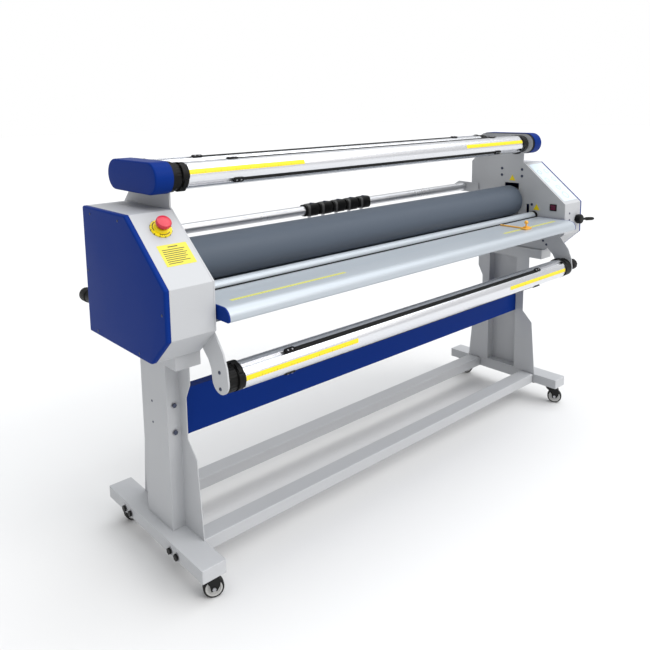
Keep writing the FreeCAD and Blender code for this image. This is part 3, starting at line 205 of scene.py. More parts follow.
class Build:
    """Collects simple shapes, placed from an origin along three axes, into one piece."""

    def __init__(self, origin=(0.0, 0.0, 0.0), axes=((1, 0, 0), (0, 1, 0), (0, 0, 1))):
        self.origin = Vector(origin)
        self.axes = [Vector(axis).normalized() for axis in axes]
        self.verts = []
        self.faces = []

    def put(self, verts, faces):
        start = len(self.verts)
        for vert in verts:
            spot = self.origin.copy()
            for axis, amount in zip(self.axes, vert):
                spot += axis * amount
            self.verts.append(spot)
        self.faces += [[start + index for index in face] for face in faces]

    def extrude(self, outline, low, high, axis="z"):
        """A flat outline carried along an axis from low to high."""
        order = {"x": (2, 0, 1), "y": (1, 2, 0), "z": (0, 1, 2)}[axis]
        count = len(outline)
        verts = []
        for level in (low, high):
            for across, up in outline:
                raw = (across, up, level)
                verts.append(tuple(raw[order[k]] for k in range(3)))
        faces = [list(range(count))[::-1], list(range(count, 2 * count))]
        for k in range(count):
            j = (k + 1) % count
            faces.append([k, j, count + j, count + k])
        self.put(verts, faces)

    def box(self, x, y, z):
        self.extrude([(x[0], y[0]), (x[1], y[0]), (x[1], y[1]), (x[0], y[1])], z[0], z[1])

    def lathe(self, profile, centre=(0.0, 0.0), axis="x", count=64, shape=None, closed=False):
        """A profile of (along, radius) swept round an axis; shape can change the radius with the angle."""
        order = {"x": (2, 0, 1), "y": (1, 2, 0), "z": (0, 1, 2)}[axis]
        verts = []
        rings = []
        for along, radius in profile:
            if radius == 0.0:
                raw = (centre[0], centre[1], along)
                verts.append(tuple(raw[order[k]] for k in range(3)))
                rings.append([len(verts) - 1])
                continue
            ring = []
            for k in range(count):
                turn = 2.0 * math.pi * k / count
                reach = shape(turn, along, radius) if shape else radius
                raw = (centre[0] + reach * math.cos(turn), centre[1] + reach * math.sin(turn), along)
                verts.append(tuple(raw[order[k2]] for k2 in range(3)))
                ring.append(len(verts) - 1)
            rings.append(ring)
        faces = []
        pairs = list(zip(rings, rings[1:]))
        if closed:
            pairs.append((rings[-1], rings[0]))
        for first, second in pairs:
            if len(first) == len(second) == 1:
                continue
            for k in range(count):
                j = (k + 1) % count
                if len(first) == 1:
                    faces.append([first[0], second[k], second[j]])
                elif len(second) == 1:
                    faces.append([first[j], first[k], second[0]])
                else:
                    faces.append([first[k], second[k], second[j], first[j]])
        self.put(verts, faces)

    def done(self, name, material, body, slot, width=0.0006, angle=35.0):
        mesh = bpy.data.meshes.new(name)
        mesh.from_pydata([tuple(vert) for vert in self.verts], [], self.faces)
        mesh.validate()
        shell = bmesh.new()
        shell.from_mesh(mesh)
        bmesh.ops.recalc_face_normals(shell, faces=shell.faces)
        shell.to_mesh(mesh)
        shell.free()
        mesh.materials.append(material)
        mesh.shade_smooth()
        mesh.set_sharp_from_angle(angle=math.radians(angle))
        obj = bpy.data.objects.new(name, mesh)
        bpy.context.scene.collection.objects.link(obj)
        if width:
            soften(obj, width, angle)
        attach(obj, body)
        return obj


def rounded(x, y, radius, steps=5):
    """A rectangle outline with rounded corners."""
    points = []
    corners = ((x[1], y[1], 0), (x[0], y[1], 1), (x[0], y[0], 2), (x[1], y[0], 3))
    for cx, cy, quarter in corners:
        sx = -1 if cx == x[1] else 1
        sy = -1 if cy == y[1] else 1
        for k in range(steps + 1):
            turn = math.pi / 2 * (quarter + k / steps)
            points.append((
                cx + sx * radius + radius * math.cos(turn),
                cy + sy * radius + radius * math.sin(turn),
            ))
    return points


def regular(count, radius, centre=(0.0, 0.0), start=0.0):
    """A regular polygon outline, turned by start."""
    return [
        (centre[0] + radius * math.cos(start + 2 * math.pi * k / count),
         centre[1] + radius * math.sin(start + 2 * math.pi * k / count))
        for k in range(count)
    ]


def dome_screw(build, spot, axis, out, radius=0.006, height=0.003):
    """A button-head screw with a hexagonal socket, standing along an axis, towards out (1 or -1)."""
    profile = [
        (0.0, radius), (0.35 * height * out, radius), (0.75 * height * out, 0.82 * radius),
        (height * out, 0.5 * radius), (0.55 * height * out, 0.48 * radius), (0.55 * height * out, 0.0),
    ]
    keep = build.origin
    build.origin = keep + Vector(spot)
    build.lathe([(0.0, 0.0)] + profile, (0.0, 0.0), axis, 24)
    build.origin = keep


def dress_cad():
    """Every CAD node gets its finish, and the edges of all but the motor, chain, sprockets and fixed bearings
    are softened.
    """
    slots = {part["node"]: part["material_slot"] for part in frame["record"]["subparts"]}
    plain = {"drive_motor", "drive_chain", "roller_sprocket", "motor_sprocket", "fixed_bearings"}
    widths = {
        "foot_bars": 0.003, "top_bars": 0.003, "cross_beams": 0.003, "feed_table": 0.001,
        "casing_left": 0.0009, "casing_right": 0.0009, "side_covers": 0.0008, "top_covers": 0.0008,
    }
    for node, obj in frame["nodes"].items():
        obj.data.materials.clear()
        slot = "table_aluminium" if node == "idler_roller" else slots[node]
        obj.data.materials.append(FINISHES[slot])
        if node in plain:
            continue
        if "custom_normal" in obj.data.attributes:
            obj.data.attributes.remove(obj.data.attributes["custom_normal"])
        obj.data.shade_smooth()
        weld = obj.modifiers.new("weld", "WELD")
        weld.merge_threshold = 0.00001
        soften(obj, widths.get(node, 0.0007))


dress_cad()

# ---------------------------------------------------------------- web shafts

SUPPLY_AT = (-0.083, 1.126)
TAKEUP_AT = (0.107, 1.126)
LOWER_AT = (-0.285, 0.622)
GRIP_TO = 0.630
TICK = 0.01


def bites(first, depth, above):
    """Three wide hollows round a flange, one over each gripping strip, on rings above a limit."""
    reach = 0.58

    def shape(turn, along, radius):
        if radius < above:
            return radius
        away = (turn - math.radians(first) + math.pi / 3.0) % (2.0 * math.pi / 3.0) - math.pi / 3.0
        return radius - depth * max(0.0, 1.0 - (away / reach) ** 2)

    return shape


def knurl(count, depth, low, high):
    """Straight ribs round a grip, on the rings between two radii."""

    def shape(turn, along, radius):
        if low <= radius <= high:
            return radius - depth * (0.5 + 0.5 * math.cos(turn * count))
        return radius

    return shape


def make_shaft_trim(name, body, nodes, y, z, skin, first, start, tapes, ends, stops, axle_end):
    """Hubs, gripping strips with screwed end caps, and measuring tapes of one shaft."""
    flange = Build()
    grip = Build()
    for side, end, stop in zip((-1, 1), ends, stops):
        profile = [
            (end - 0.0140, skin + 0.0003), (end - 0.0140, skin + 0.0036), (end - 0.0128, skin + 0.0045),
            (end + 0.0048, skin + 0.0045), (end + 0.0060, skin + 0.0034), (end + 0.0060, skin + 0.0002),
            (end + 0.0060, 0.0120), (end + 0.0002, 0.0120), (end + 0.0002, skin + 0.0003),
        ]
        flange.lathe(
            [(a * side, r) for a, r in profile], (y, z), "x", 120, bites(first, 0.0088, skin + 0.001),
            True,
        )
        profile = [
            (end + 0.0062, 0.0), (end + 0.0062, skin - 0.0012), (end + 0.0080, skin - 0.0008),
            (stop - 0.002, skin - 0.0008),
            (stop, skin - 0.004), (stop, 0.012), (axle_end, 0.012), (axle_end, 0.0),
        ]
        grip.lathe(
            [(a * side, r) for a, r in profile], (y, z), "x", 144, knurl(24, 0.0007, skin - 0.0015, skin),
        )
    flanges = flange.done(f"{name}_flanges", FINISHES["black_plastic"], body, "black_plastic", 0.0005)
    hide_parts(*nodes)
    grip.done(f"{name}_grips", FINISHES["black_plastic"], body, "black_plastic", 0.0)

    for number in range(3):
        turn = math.radians(first + 120.0 * number)
        out = Vector((0, math.cos(turn), math.sin(turn)))
        across = Vector((0, -math.sin(turn), math.cos(turn)))
        axes = ((1, 0, 0), across, out)
        strip = Build((0, y, z), axes)
        low = skin - 0.0076
        top = skin + 0.0009
        outline = [
            (-0.0055, low), (0.0055, low), (0.0055, top - 0.0012), (0.0044, top), (0.0026, top),
            (0.0020, top - 0.0007), (0.0011, top - 0.0007), (0.0006, top), (-0.0006, top),
            (-0.0011, top - 0.0007), (-0.0020, top - 0.0007), (-0.0026, top), (-0.0044, top),
            (-0.0055, top - 0.0012),
        ]
        strip.extrude(outline, start + 0.03, GRIP_TO - 0.03, "x")
        strip.done(f"{name}_strip_{number + 1}", FINISHES["strip_rubber"], body, "strip_rubber", 0.0)
        caps = Build((0, y, z), axes)
        for end, inward in ((start, 1), (GRIP_TO, -1)):
            x = sorted((end, end + 0.036 * inward))
            caps.extrude(rounded(x, (-0.0080, 0.0080), 0.0060), skin - 0.0012, skin + 0.0034)
        caps.done(f"{name}_strip_caps_{number + 1}", FINISHES["black_plastic"], body, "black_plastic", 0.0008)
        screws = Build((0, y, z), axes)
        for end, inward in ((start, 1), (GRIP_TO, -1)):
            for step in (0.011, 0.026):
                dome_screw(
                    screws, out * (skin + 0.0032) + Vector((end + step * inward, 0, 0)), "z", 1, 0.0027,
                    0.0012,
                )
        screws.done(f"{name}_strip_screws_{number + 1}", SCREW, body, "roller_steel", 0.0)

    if tapes is None:
        return
    band = Build((0, y, z))
    marks = Build((0, y, z))
    centre, spans = tapes
    half = math.radians(10.5)
    middle = math.radians(centre)
    for low, high in spans:
        arc_band(band, skin + 0.0002, middle - half, middle + half, low, high, 8)
        for k in range(1, int(round((high - low) / TICK))):
            x = low + TICK * k
            reach = half * (1.0 if k % 5 == 0 else 0.45)
            arc_band(
                marks, skin + 0.00032, middle + half - reach, middle + half - 0.01, x - 0.0004,
                x + 0.0004, 3,
            )
    band.done(f"{name}_tapes", TAPE, body, "signal_yellow", 0.0)
    marks.done(f"{name}_tape_marks", PRINT, body, "black_plastic", 0.0)


def arc_band(build, radius, start, stop, low, high, steps):
    """A thin curved band about the X axis, between two angles and two places along X."""
    thick = 0.00015
    verts = []
    for reach in (radius, radius + thick):
        for x in (low, high):
            for k in range(steps + 1):
                turn = start + (stop - start) * k / steps
                verts.append((x, reach * math.cos(turn), reach * math.sin(turn)))
    row = steps + 1
    faces = []
    for k in range(steps):
        faces.append([k, k + 1, row + k + 1, row + k])
        faces.append([2 * row + k, 3 * row + k, 3 * row + k + 1, 2 * row + k + 1])
        faces.append([k, 2 * row + k, 2 * row + k + 1, k + 1])
        faces.append([row + k, row + k + 1, 3 * row + k + 1, 3 * row + k])
    faces.append([0, row, 3 * row, 2 * row])
    faces.append([steps, 2 * row + steps, 3 * row + steps, row + steps])
    build.put(verts, faces)


make_shaft_trim(
    "supply", "supply", ("supply_shaft_strips", "supply_shaft_hubs"), *SUPPLY_AT, 0.037, 95.0, -0.680,
    (161.0, ((-0.8225, -0.42), (0.40, 0.785))), (0.838, 0.802), (0.8606, 0.836), 0.905,
)
make_shaft_trim(
    "takeup", "takeup", ("takeup_shaft_fittings",), *TAKEUP_AT, 0.034, 105.0, -0.680, None,
    (0.838, 0.802), (0.8606, 0.836), 0.905,
)
make_shaft_trim(
    "lower", "lower_reel", ("lower_shaft_strips", "lower_shaft_hubs"), *LOWER_AT, 0.037, 122.0, -0.665,
    (177.0, ((-0.805, -0.40), (0.40, 0.799))), (0.822, 0.816), (0.8556, 0.8556), 0.859,
)

# ---------------------------------------------------------------- head details

PLATE_FACE = 0.8610
ARM_FACE = 0.8560
COVER_FACE = 1.0025
POST_SIDES = (0.854, 0.898)
KEY_PLACES = ((-0.027, 0.062), (0.027, 0.062), (-0.027, 0.014), (0.027, 0.014), (0.0, -0.034))
BAR_AT = (0.225, 0.917)

def make_tension_knob():
    """The ribbed knob outside the right lower arm."""
    knob = Build()
    profile = [
        (0.8613, 0.0), (0.8613, 0.0155), (0.8680, 0.0160), (0.8690, 0.0110), (0.8980, 0.0105),
        (0.9000, 0.0185),
        (0.9040, 0.0222), (0.9300, 0.0222), (0.9360, 0.0170), (0.9375, 0.0100), (0.9380, 0.0),
    ]
    knob.lathe(profile, LOWER_AT, "x", 120, knurl(20, 0.0020, 0.0220, 0.0224))
    piece = knob.done(
        "tension_knob_grip", FINISHES["black_plastic"], "tension_control", "black_plastic", 0.0004,
    )
    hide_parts("tension_knob")


SLOPE_DOWN = Vector((0.0, -0.7635, -0.6458))
SLOPE_OUT = Vector((0.0, -0.6458, 0.7635))
SLOPE_TOP = Vector((0.0, -0.090, 1.040))


def on_slope(x, down):
    """A builder whose first axis is X, second runs up the slope and third stands out of it."""
    return Build(SLOPE_TOP + SLOPE_DOWN * down + Vector((x, 0, 0)), ((1, 0, 0), -SLOPE_DOWN, SLOPE_OUT))


def make_emergency_stop():
    """A yellow collar with dark arrows and marks, and a red mushroom button that presses in."""
    base = on_slope(-0.925, 0.060)
    profile = [
        (0.0, 0.0122), (0.0, 0.0295), (0.0035, 0.0295), (0.0055, 0.0275), (0.0055, 0.0190), (0.0085, 0.0185),
        (0.0108, 0.0165), (0.0118, 0.0150), (0.0118, 0.0122),
    ]
    base.lathe(profile, (0.0, 0.0), "z", 144, knurl(36, 0.0009, 0.0294, 0.0296), True)
    piece = base.done("estop_collar", FINISHES["signal_yellow"], "frame", "signal_yellow", 0.0004)
    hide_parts("estop_base")
    ring = on_slope(-0.925, 0.060)
    for k in range(3):
        start = 2 * math.pi * k / 3
        for step in range(7):
            turn = start + step * 0.2
            spot = (0.0238 * math.cos(turn), 0.0238 * math.sin(turn))
            ring.extrude(regular(3, 0.0030, spot, turn), 0.0054, 0.0058)
    for k in range(12):
        turn = 2 * math.pi * k / 12
        spot = (0.0276 * math.cos(turn), 0.0276 * math.sin(turn))
        ring.extrude(regular(4, 0.0024, spot, turn), 0.0004, 0.0046)
    ring.done("estop_arrows", PRINT, "frame", "black_plastic", 0.0)
    cap = on_slope(-0.925, 0.060)
    profile = [
        (0.0082, 0.0), (0.0082, 0.0112), (0.0190, 0.0112), (0.0194, 0.0180), (0.0215, 0.0207),
        (0.0278, 0.0210),
        (0.0312, 0.0190), (0.0328, 0.0148), (0.0338, 0.0085), (0.0342, 0.0),
    ]
    cap.lathe(profile, (0.0, 0.0), "z", 144, knurl(18, 0.0007, 0.0206, 0.0211))
    piece = cap.done("estop_mushroom", FINISHES["signal_red"], "emergency_stop", "signal_red", 0.0004)
    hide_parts("estop_button")


def make_labels():
    """A plain yellow label with ruled lines under the emergency stop, and two plain triangles inside."""
    label = on_slope(-0.920, 0.146)
    label.extrude(rounded((-0.042, 0.042), (-0.034, 0.034), 0.002, 3), 0.0001, 0.0004)
    label.done("notice_label", LABEL, "frame", "signal_yellow", 0.0)
    lines = on_slope(-0.920, 0.146)
    lines.box((-0.014, 0.014), (0.0245, 0.0275), (0.0004, 0.0005))
    for k, length in enumerate((0.064, 0.058, 0.066, 0.060, 0.062, 0.054, 0.064, 0.040)):
        up = 0.0175 - 0.0062 * k
        lines.box((-0.034, -0.034 + length), (up - 0.0011, up + 0.0011), (0.0004, 0.0005))
    lines.done("notice_lines", PRINT, "frame", "black_plastic", 0.0)
    marks = Build()
    for side in (-1, 1):
        for y, z in ((-0.030, 0.972), (-0.150, 0.854)):
            x = sorted((PLATE_FACE * side, 0.8606 * side))
            marks.extrude([(y - 0.015, z - 0.009), (y + 0.015, z - 0.009), (y, z + 0.017)], x[0], x[1], "x")
    marks.done("plain_triangles", FINISHES["signal_yellow"], "frame", "signal_yellow", 0.0)


def make_control_panel():
    """A pale film overlay with five plain membrane keys and a ring below them."""
    overlay = on_slope(0.928, 0.120)
    overlay.extrude(rounded((-0.053, 0.053), (-0.110, 0.110), 0.005), 0.0, 0.0009)
    piece = overlay.done("control_overlay", FINISHES["overlay_blue"], "frame", "overlay_blue", 0.0003)
    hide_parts("control_panel")
    rings = on_slope(0.928, 0.120)
    for across, up in KEY_PLACES:
        rings.lathe(
            [(0.0008, 0.0105), (0.0013, 0.0108), (0.0013, 0.0125), (0.0008, 0.0128)], (across, up), "z", 48,
            None, True,
        )
    rings.lathe([(0.0008, 0.0), (0.0008, 0.014), (0.0014, 0.0165), (0.0008, 0.0185), (0.0008, 0.0)],
                (0.0, -0.078), "z", 48)
    rings.done("key_rings", PALE_PRINT, "frame", "overlay_blue", 0.0)
    keys = on_slope(0.928, 0.120)
    for across, up in KEY_PLACES:
        keys.lathe([(0.0008, 0.0), (0.0008, 0.0098), (0.0012, 0.0094), (0.0014, 0.006), (0.0014, 0.0)],
                   (across, up), "z", 40)
    keys.done("membrane_keys", FINISHES["overlay_blue"], "frame", "overlay_blue", 0.0)


def make_power_switch():
    """The square bezel inside the right casing and its rocker."""
    bezel = Build()
    outer = rounded((-0.241, -0.211), (0.849, 0.877), 0.002)
    bezel.extrude(outer, 0.8585, 0.8609, "x")
    bezel.done("switch_bezel", FINISHES["black_plastic"], "frame", "black_plastic", 0.0005)
    rocker = Build((0.0, -0.226, 0.863))
    side = [
        (-0.0096, 0.8572), (0.0, 0.8586), (0.0096, 0.8560), (0.0102, 0.8580), (0.0102, 0.8670),
        (-0.0102, 0.8670),
    ]
    verts = []
    for y in (-0.0110, 0.0110):
        for up, x in side:
            verts.append((x, y, up))
    count = len(side)
    faces = [list(range(count)), list(range(count, 2 * count))[::-1]]
    for k in range(count):
        j = (k + 1) % count
        faces.append([k, count + k, count + j, j])
    rocker.put(verts, faces)
    piece = rocker.done("switch_rocker", MAROON, "power_switch", "signal_red", 0.0006)
    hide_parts("power_rocker")


def make_screws():
    """Screws in the side plates, on the blue covers, the casings and the lower arms."""
    plate = Build()
    for side in (-1, 1):
        for y, z in (
            (0.022, 1.014), (0.022, 0.985), (-0.076, 1.014), (-0.076, 0.985), (0.156, 0.885),
            (-0.128, 0.867),
        ):
            dome_screw(plate, (PLATE_FACE * side, y, z), "x", -side, 0.006, 0.003)
        for y, z in ((-0.188, 0.718), (-0.204, 0.703), (-0.284, 0.644), (-0.286, 0.600)):
            dome_screw(plate, (ARM_FACE * side, y, z), "x", -side, 0.005, 0.0026)
            if z < 0.66:
                dome_screw(plate, (PLATE_FACE * side, y, z), "x", side, 0.005, 0.0026)
    piece = plate.done("plate_screws", DARK_SCREW, "frame", "black_steel", 0.0)
    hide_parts("panel_screws")
    cover = Build()
    for side in (-1, 1):
        for y, z in (
            (0.114, 1.022), (-0.053, 1.022), (0.149, 0.858), (0.107, 0.690), (-0.136, 0.690),
            (-0.262, 0.819),
        ):
            dome_screw(cover, (COVER_FACE * side, y, z), "x", side, 0.0035, 0.0012)
        for y, z in ((0.013, 0.417), (0.013, 0.481)):
            dome_screw(cover, (POST_SIDES[1] * side, y, z), "x", side, 0.0035, 0.0012)
    for z in (0.840, 0.812):
        dome_screw(cover, (0.900, -0.278, z), "y", -1, 0.0045, 0.0022)
    cover.done("cover_screws", DARK_SCREW, "frame", "black_steel", 0.0)


def make_frame_bolts():
    """Hexagonal bolts and washers through the feet and the posts."""
    bolts = Build()
    post_bolts = Build()
    washers = Build()
    for side in (-1, 1):
        for y in (-0.145, -0.109, 0.125, 0.161):
            spot = (y, 0.092)
            a, b, c = (v * side for v in (0.9295, 0.9310, 0.9370))
            washers.lathe([(a, 0.0), (a, 0.0125), (b, 0.0125), (b, 0.0)], spot, "x", 40)
            bolts.extrude(regular(6, 0.0100, spot, 0.3 + y * 9), min(b, c), max(b, c), "x")
        x = sum(POST_SIDES) / 2 * side
        for z in (0.409, 0.489):
            y = -0.0715
            washers.lathe([(y, 0.0), (y, 0.0095), (y - 0.0014, 0.0095), (y - 0.0014, 0.0)], (z, x), "y", 40)
            post_bolts.extrude(regular(6, 0.0070, (z, x), z), y - 0.0059, y - 0.0014, "y")
    post_bolts.done("post_hex_bolts", DARK_SCREW, "frame", "black_steel", 0.0006)
    piece = bolts.done("frame_hex_bolts", FINISHES["black_steel"], "frame", "black_steel", 0.0006)
    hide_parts("frame_bolts")
    washers.done("frame_washers", SCREW, "frame", "roller_steel", 0.0002)


def make_lift_lever():
    """The ribbed boss that turns the nip's cams, and its leaning handle."""
    hub = Build()
    y = -0.2785
    profile = [
        (y, 0.0), (y, 0.0165), (y - 0.004, 0.0175), (y - 0.006, 0.0195), (y - 0.020, 0.0200),
        (y - 0.023, 0.0175), (y - 0.024, 0.0120), (y - 0.0235, 0.0),
    ]
    hub.lathe(profile, (0.811, 0.960), "y", 96, knurl(12, 0.0010, 0.0194, 0.0201))
    piece = hub.done("lever_boss", FINISHES["black_plastic"], "lift_handle", "black_plastic", 0.0005)
    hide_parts("lift_lever")
    lean = math.radians(5.5)
    along = Vector((math.cos(lean) ** 2, -math.sin(lean) * math.cos(lean), -math.sin(lean)))
    across = Vector((math.sin(lean), math.cos(lean), 0.0))
    arm = Build((0.960, y - 0.014, 0.811), (along, across, along.cross(across)))
    arm.lathe(
        [(0.0, 0.0), (0.0, 0.0062), (0.022, 0.0054), (0.042, 0.0050), (0.045, 0.0064), (0.049, 0.0074),
         (0.084, 0.0072), (0.096, 0.0066), (0.1020, 0.0045), (0.1030, 0.0)],
        (0.0, 0.0), "x", 40,
    )
    arm.done("lever_handle", FINISHES["black_plastic"], "lift_handle", "black_plastic", 0.0)


def make_edge_guide():
    """The orange pointer that slides along the table's edge, with its ball knob."""
    base = 0.8184
    x, y = 0.569, -0.277
    foot = Build((x, y, base))
    foot.extrude(rounded((-0.022, 0.022), (-0.013, 0.013), 0.006), 0.0, 0.006)
    foot.extrude(rounded((-0.012, 0.012), (-0.009, 0.009), 0.004), 0.006, 0.010)
    foot.extrude(rounded((-0.0045, 0.0045), (0.010, 0.113), 0.0040), 0.0, 0.0045)
    piece = foot.done("guide_pointer", FINISHES["guide_orange"], "guide", "guide_orange", 0.0008)
    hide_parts("edge_guide")
    ball = Build((x, y, base))
    profile = [(0.0095, 0.0), (0.0095, 0.0034), (0.0190, 0.0028)]
    for k in range(2, 17):
        turn = math.pi * k / 17
        profile.append((0.026 - 0.0075 * math.cos(turn), 0.0075 * math.sin(turn)))
    profile.append((0.0335, 0.0))
    ball.lathe(profile, (0.0, 0.0), "z", 32)
    ball.done("guide_knob", FINISHES["guide_orange"], "guide", "guide_orange", 0.0)


def make_table_trim():
    """Measuring tapes let into the table, and a near-black strip behind it: painted shadow for the gap
    between table and idler.
    """
    top = 0.818
    tape = Build()
    marks = Build()
    for start, stop in ((-0.808, -0.398), (0.434, 0.800)):
        tape.box((start, stop), (-0.2730, -0.2610), (top, top + 0.0002))
        for k in range(1, int(round((stop - start) / TICK))):
            x = start + TICK * k
            reach = 0.0088 if k % 5 == 0 else 0.0042
            marks.box((x - 0.0003, x + 0.0003), (-0.2730, -0.2730 + reach), (top + 0.0002, top + 0.00028))
    tape.done("table_tapes", PALE_TAPE, "frame", "signal_yellow", 0.0)
    marks.done("table_tape_marks", PRINT, "frame", "black_plastic", 0.0)
    # Painted shadow: a near-black strip standing for the shade in the narrow gap behind the table, not a real
    # part.
    gap_shadow = Build()
    gap_shadow.box((-0.8525, 0.8525), (-0.1600, -0.1568), (top, top + 0.0034))
    gap_shadow.done("table_gap_shadow", FINISHES["strip_rubber"], "frame", "strip_rubber", 0.0)
    joints = Build()
    for y in (-0.2265, -0.2985):
        joints.box((-0.8525, 0.8525), (y - 0.0004, y + 0.0004), (top, top + 0.00012))
    joints.done("table_seams", PALE_PRINT, "frame", "table_aluminium", 0.0)


def soft_square(wide, tall):
    """A radius that turns a ring into a rounded rectangle; rings on the bore stay round."""
    bore = 0.0181
    power = 3.4

    def shape(turn, along, radius):
        if radius < bore:
            return radius
        across = (abs(math.cos(turn)) / wide) ** power
        up = (abs(math.sin(turn)) / tall) ** power
        return radius * (across + up) ** (-1.0 / power)

    return shape


def make_slitters():
    """Knife holders on the rear bar: a split clamp block, a grey band, a low screw and a blade.

    A thin dark sleeve fills the narrow gaps between them.
    """
    first = -0.101
    pitch = 0.0698
    square = soft_square(0.957, 1.0)
    sleeve = Build()
    profile = [(-0.0700, 0.0172), (-0.0700, 0.0178), (0.1474, 0.0178), (0.1474, 0.0172)]
    sleeve.lathe(profile, BAR_AT, "x", 64, None, True)
    sleeve.done("bar_sleeve", FINISHES["strip_rubber"], "frame", "black_plastic", 0.0)
    for number in range(5):
        x = first + pitch * number
        body = f"slitter_{number + 1}_body"
        holder = Build((x, 0.0, 0.0))
        profile = [
            (-0.0310, 0.0180), (-0.0310, 0.0210), (-0.0302, 0.0216), (-0.0215, 0.0217), (-0.0213, 0.0206),
            (-0.0110, 0.0226), (-0.0100, 0.0235), (0.0290, 0.0235), (0.0305, 0.0228), (0.0310, 0.0214),
            (0.0310, 0.0180),
        ]
        holder.lathe(profile, BAR_AT, "x", 96, square, True)
        piece = holder.done(
            f"slitter_{number + 1}_holder", FINISHES["black_plastic"], body, "black_plastic", 0.0,
        )
        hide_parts(f"slitter_{number + 1}")
        bands = Build((x, 0.0, 0.0))
        bands.lathe([(-0.0212, 0.0206), (-0.0212, 0.0218), (-0.0110, 0.0235), (-0.0110, 0.0224)],
                    BAR_AT, "x", 96, square, True)
        bands.done(f"slitter_{number + 1}_bands", GREY_HUB, body, "black_plastic", 0.0)
        screw = Build((x, *BAR_AT))
        screw.lathe(
            [(0.0222, 0.0), (0.0222, 0.0070), (0.0250, 0.0070), (0.0258, 0.0060), (0.0258, 0.0030),
             (0.0244, 0.0028),
             (0.0244, 0.0)],
            (0.010, 0.0), "z", 48,
        )
        screw.done(f"slitter_{number + 1}_screw", DARK_SCREW, body, "black_steel", 0.0)
        blade = Build((x, *BAR_AT))
        blade.extrude(
            [(-0.011, -0.0225), (0.011, -0.0225), (0.008, -0.0365), (0.002, -0.0365)], -0.0006, 0.0006,
            "x",
        )
        blade.done(f"slitter_{number + 1}_blade", SCREW, body, "roller_steel", 0.0)


def make_power_inlet():
    """The round black fitting behind the left casing, with the mains socket in its end."""
    inlet = Build()
    y = 0.168
    profile = [
        (y, 0.0), (y, 0.0208), (y + 0.006, 0.0210), (y + 0.009, 0.0185), (y + 0.050, 0.0182),
        (y + 0.053, 0.0205),
        (y + 0.056, 0.0210), (y + 0.083, 0.0210), (y + 0.087, 0.0190), (y + 0.088, 0.0150),
        (y + 0.088, 0.0122),
        (y + 0.062, 0.0120), (y + 0.062, 0.0),
    ]
    inlet.lathe(profile, (0.761, -0.972), "y", 120, knurl(24, 0.0010, 0.02095, 0.02105))
    piece = inlet.done("inlet_gland", FINISHES["black_plastic"], "frame", "black_plastic", 0.0003)
    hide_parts("power_inlet")


# ---------------------------------------------------------------- feet


def make_levellers():
    """Black pads with threaded studs under the foot bars."""
    feet = Build()
    nuts = Build()
    for side in (-1, 1):
        for y in (-0.150, 0.150):
            spot = (0.891 * side, y)
            feet.lathe(
                [(0.0622, 0.0), (0.0622, 0.0072), (0.0634, 0.0086), (0.0662, 0.0090),
                 (0.0680, 0.0078), (0.0686, 0.0)],
                spot, "z", 40,
            )
            nuts.lathe([(0.0684, 0.0), (0.0684, 0.0040), (0.0730, 0.0040), (0.0730, 0.0)], spot, "z", 28)
            nuts.extrude(regular(6, 0.0086, spot), 0.0728, 0.0779)
    piece = feet.done("levelling_pads", FINISHES["black_plastic"], "frame", "black_plastic", 0.0004)
    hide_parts("levelling_feet")
    nuts.done("levelling_studs", FINISHES["black_steel"], "frame", "black_steel", 0.0003)


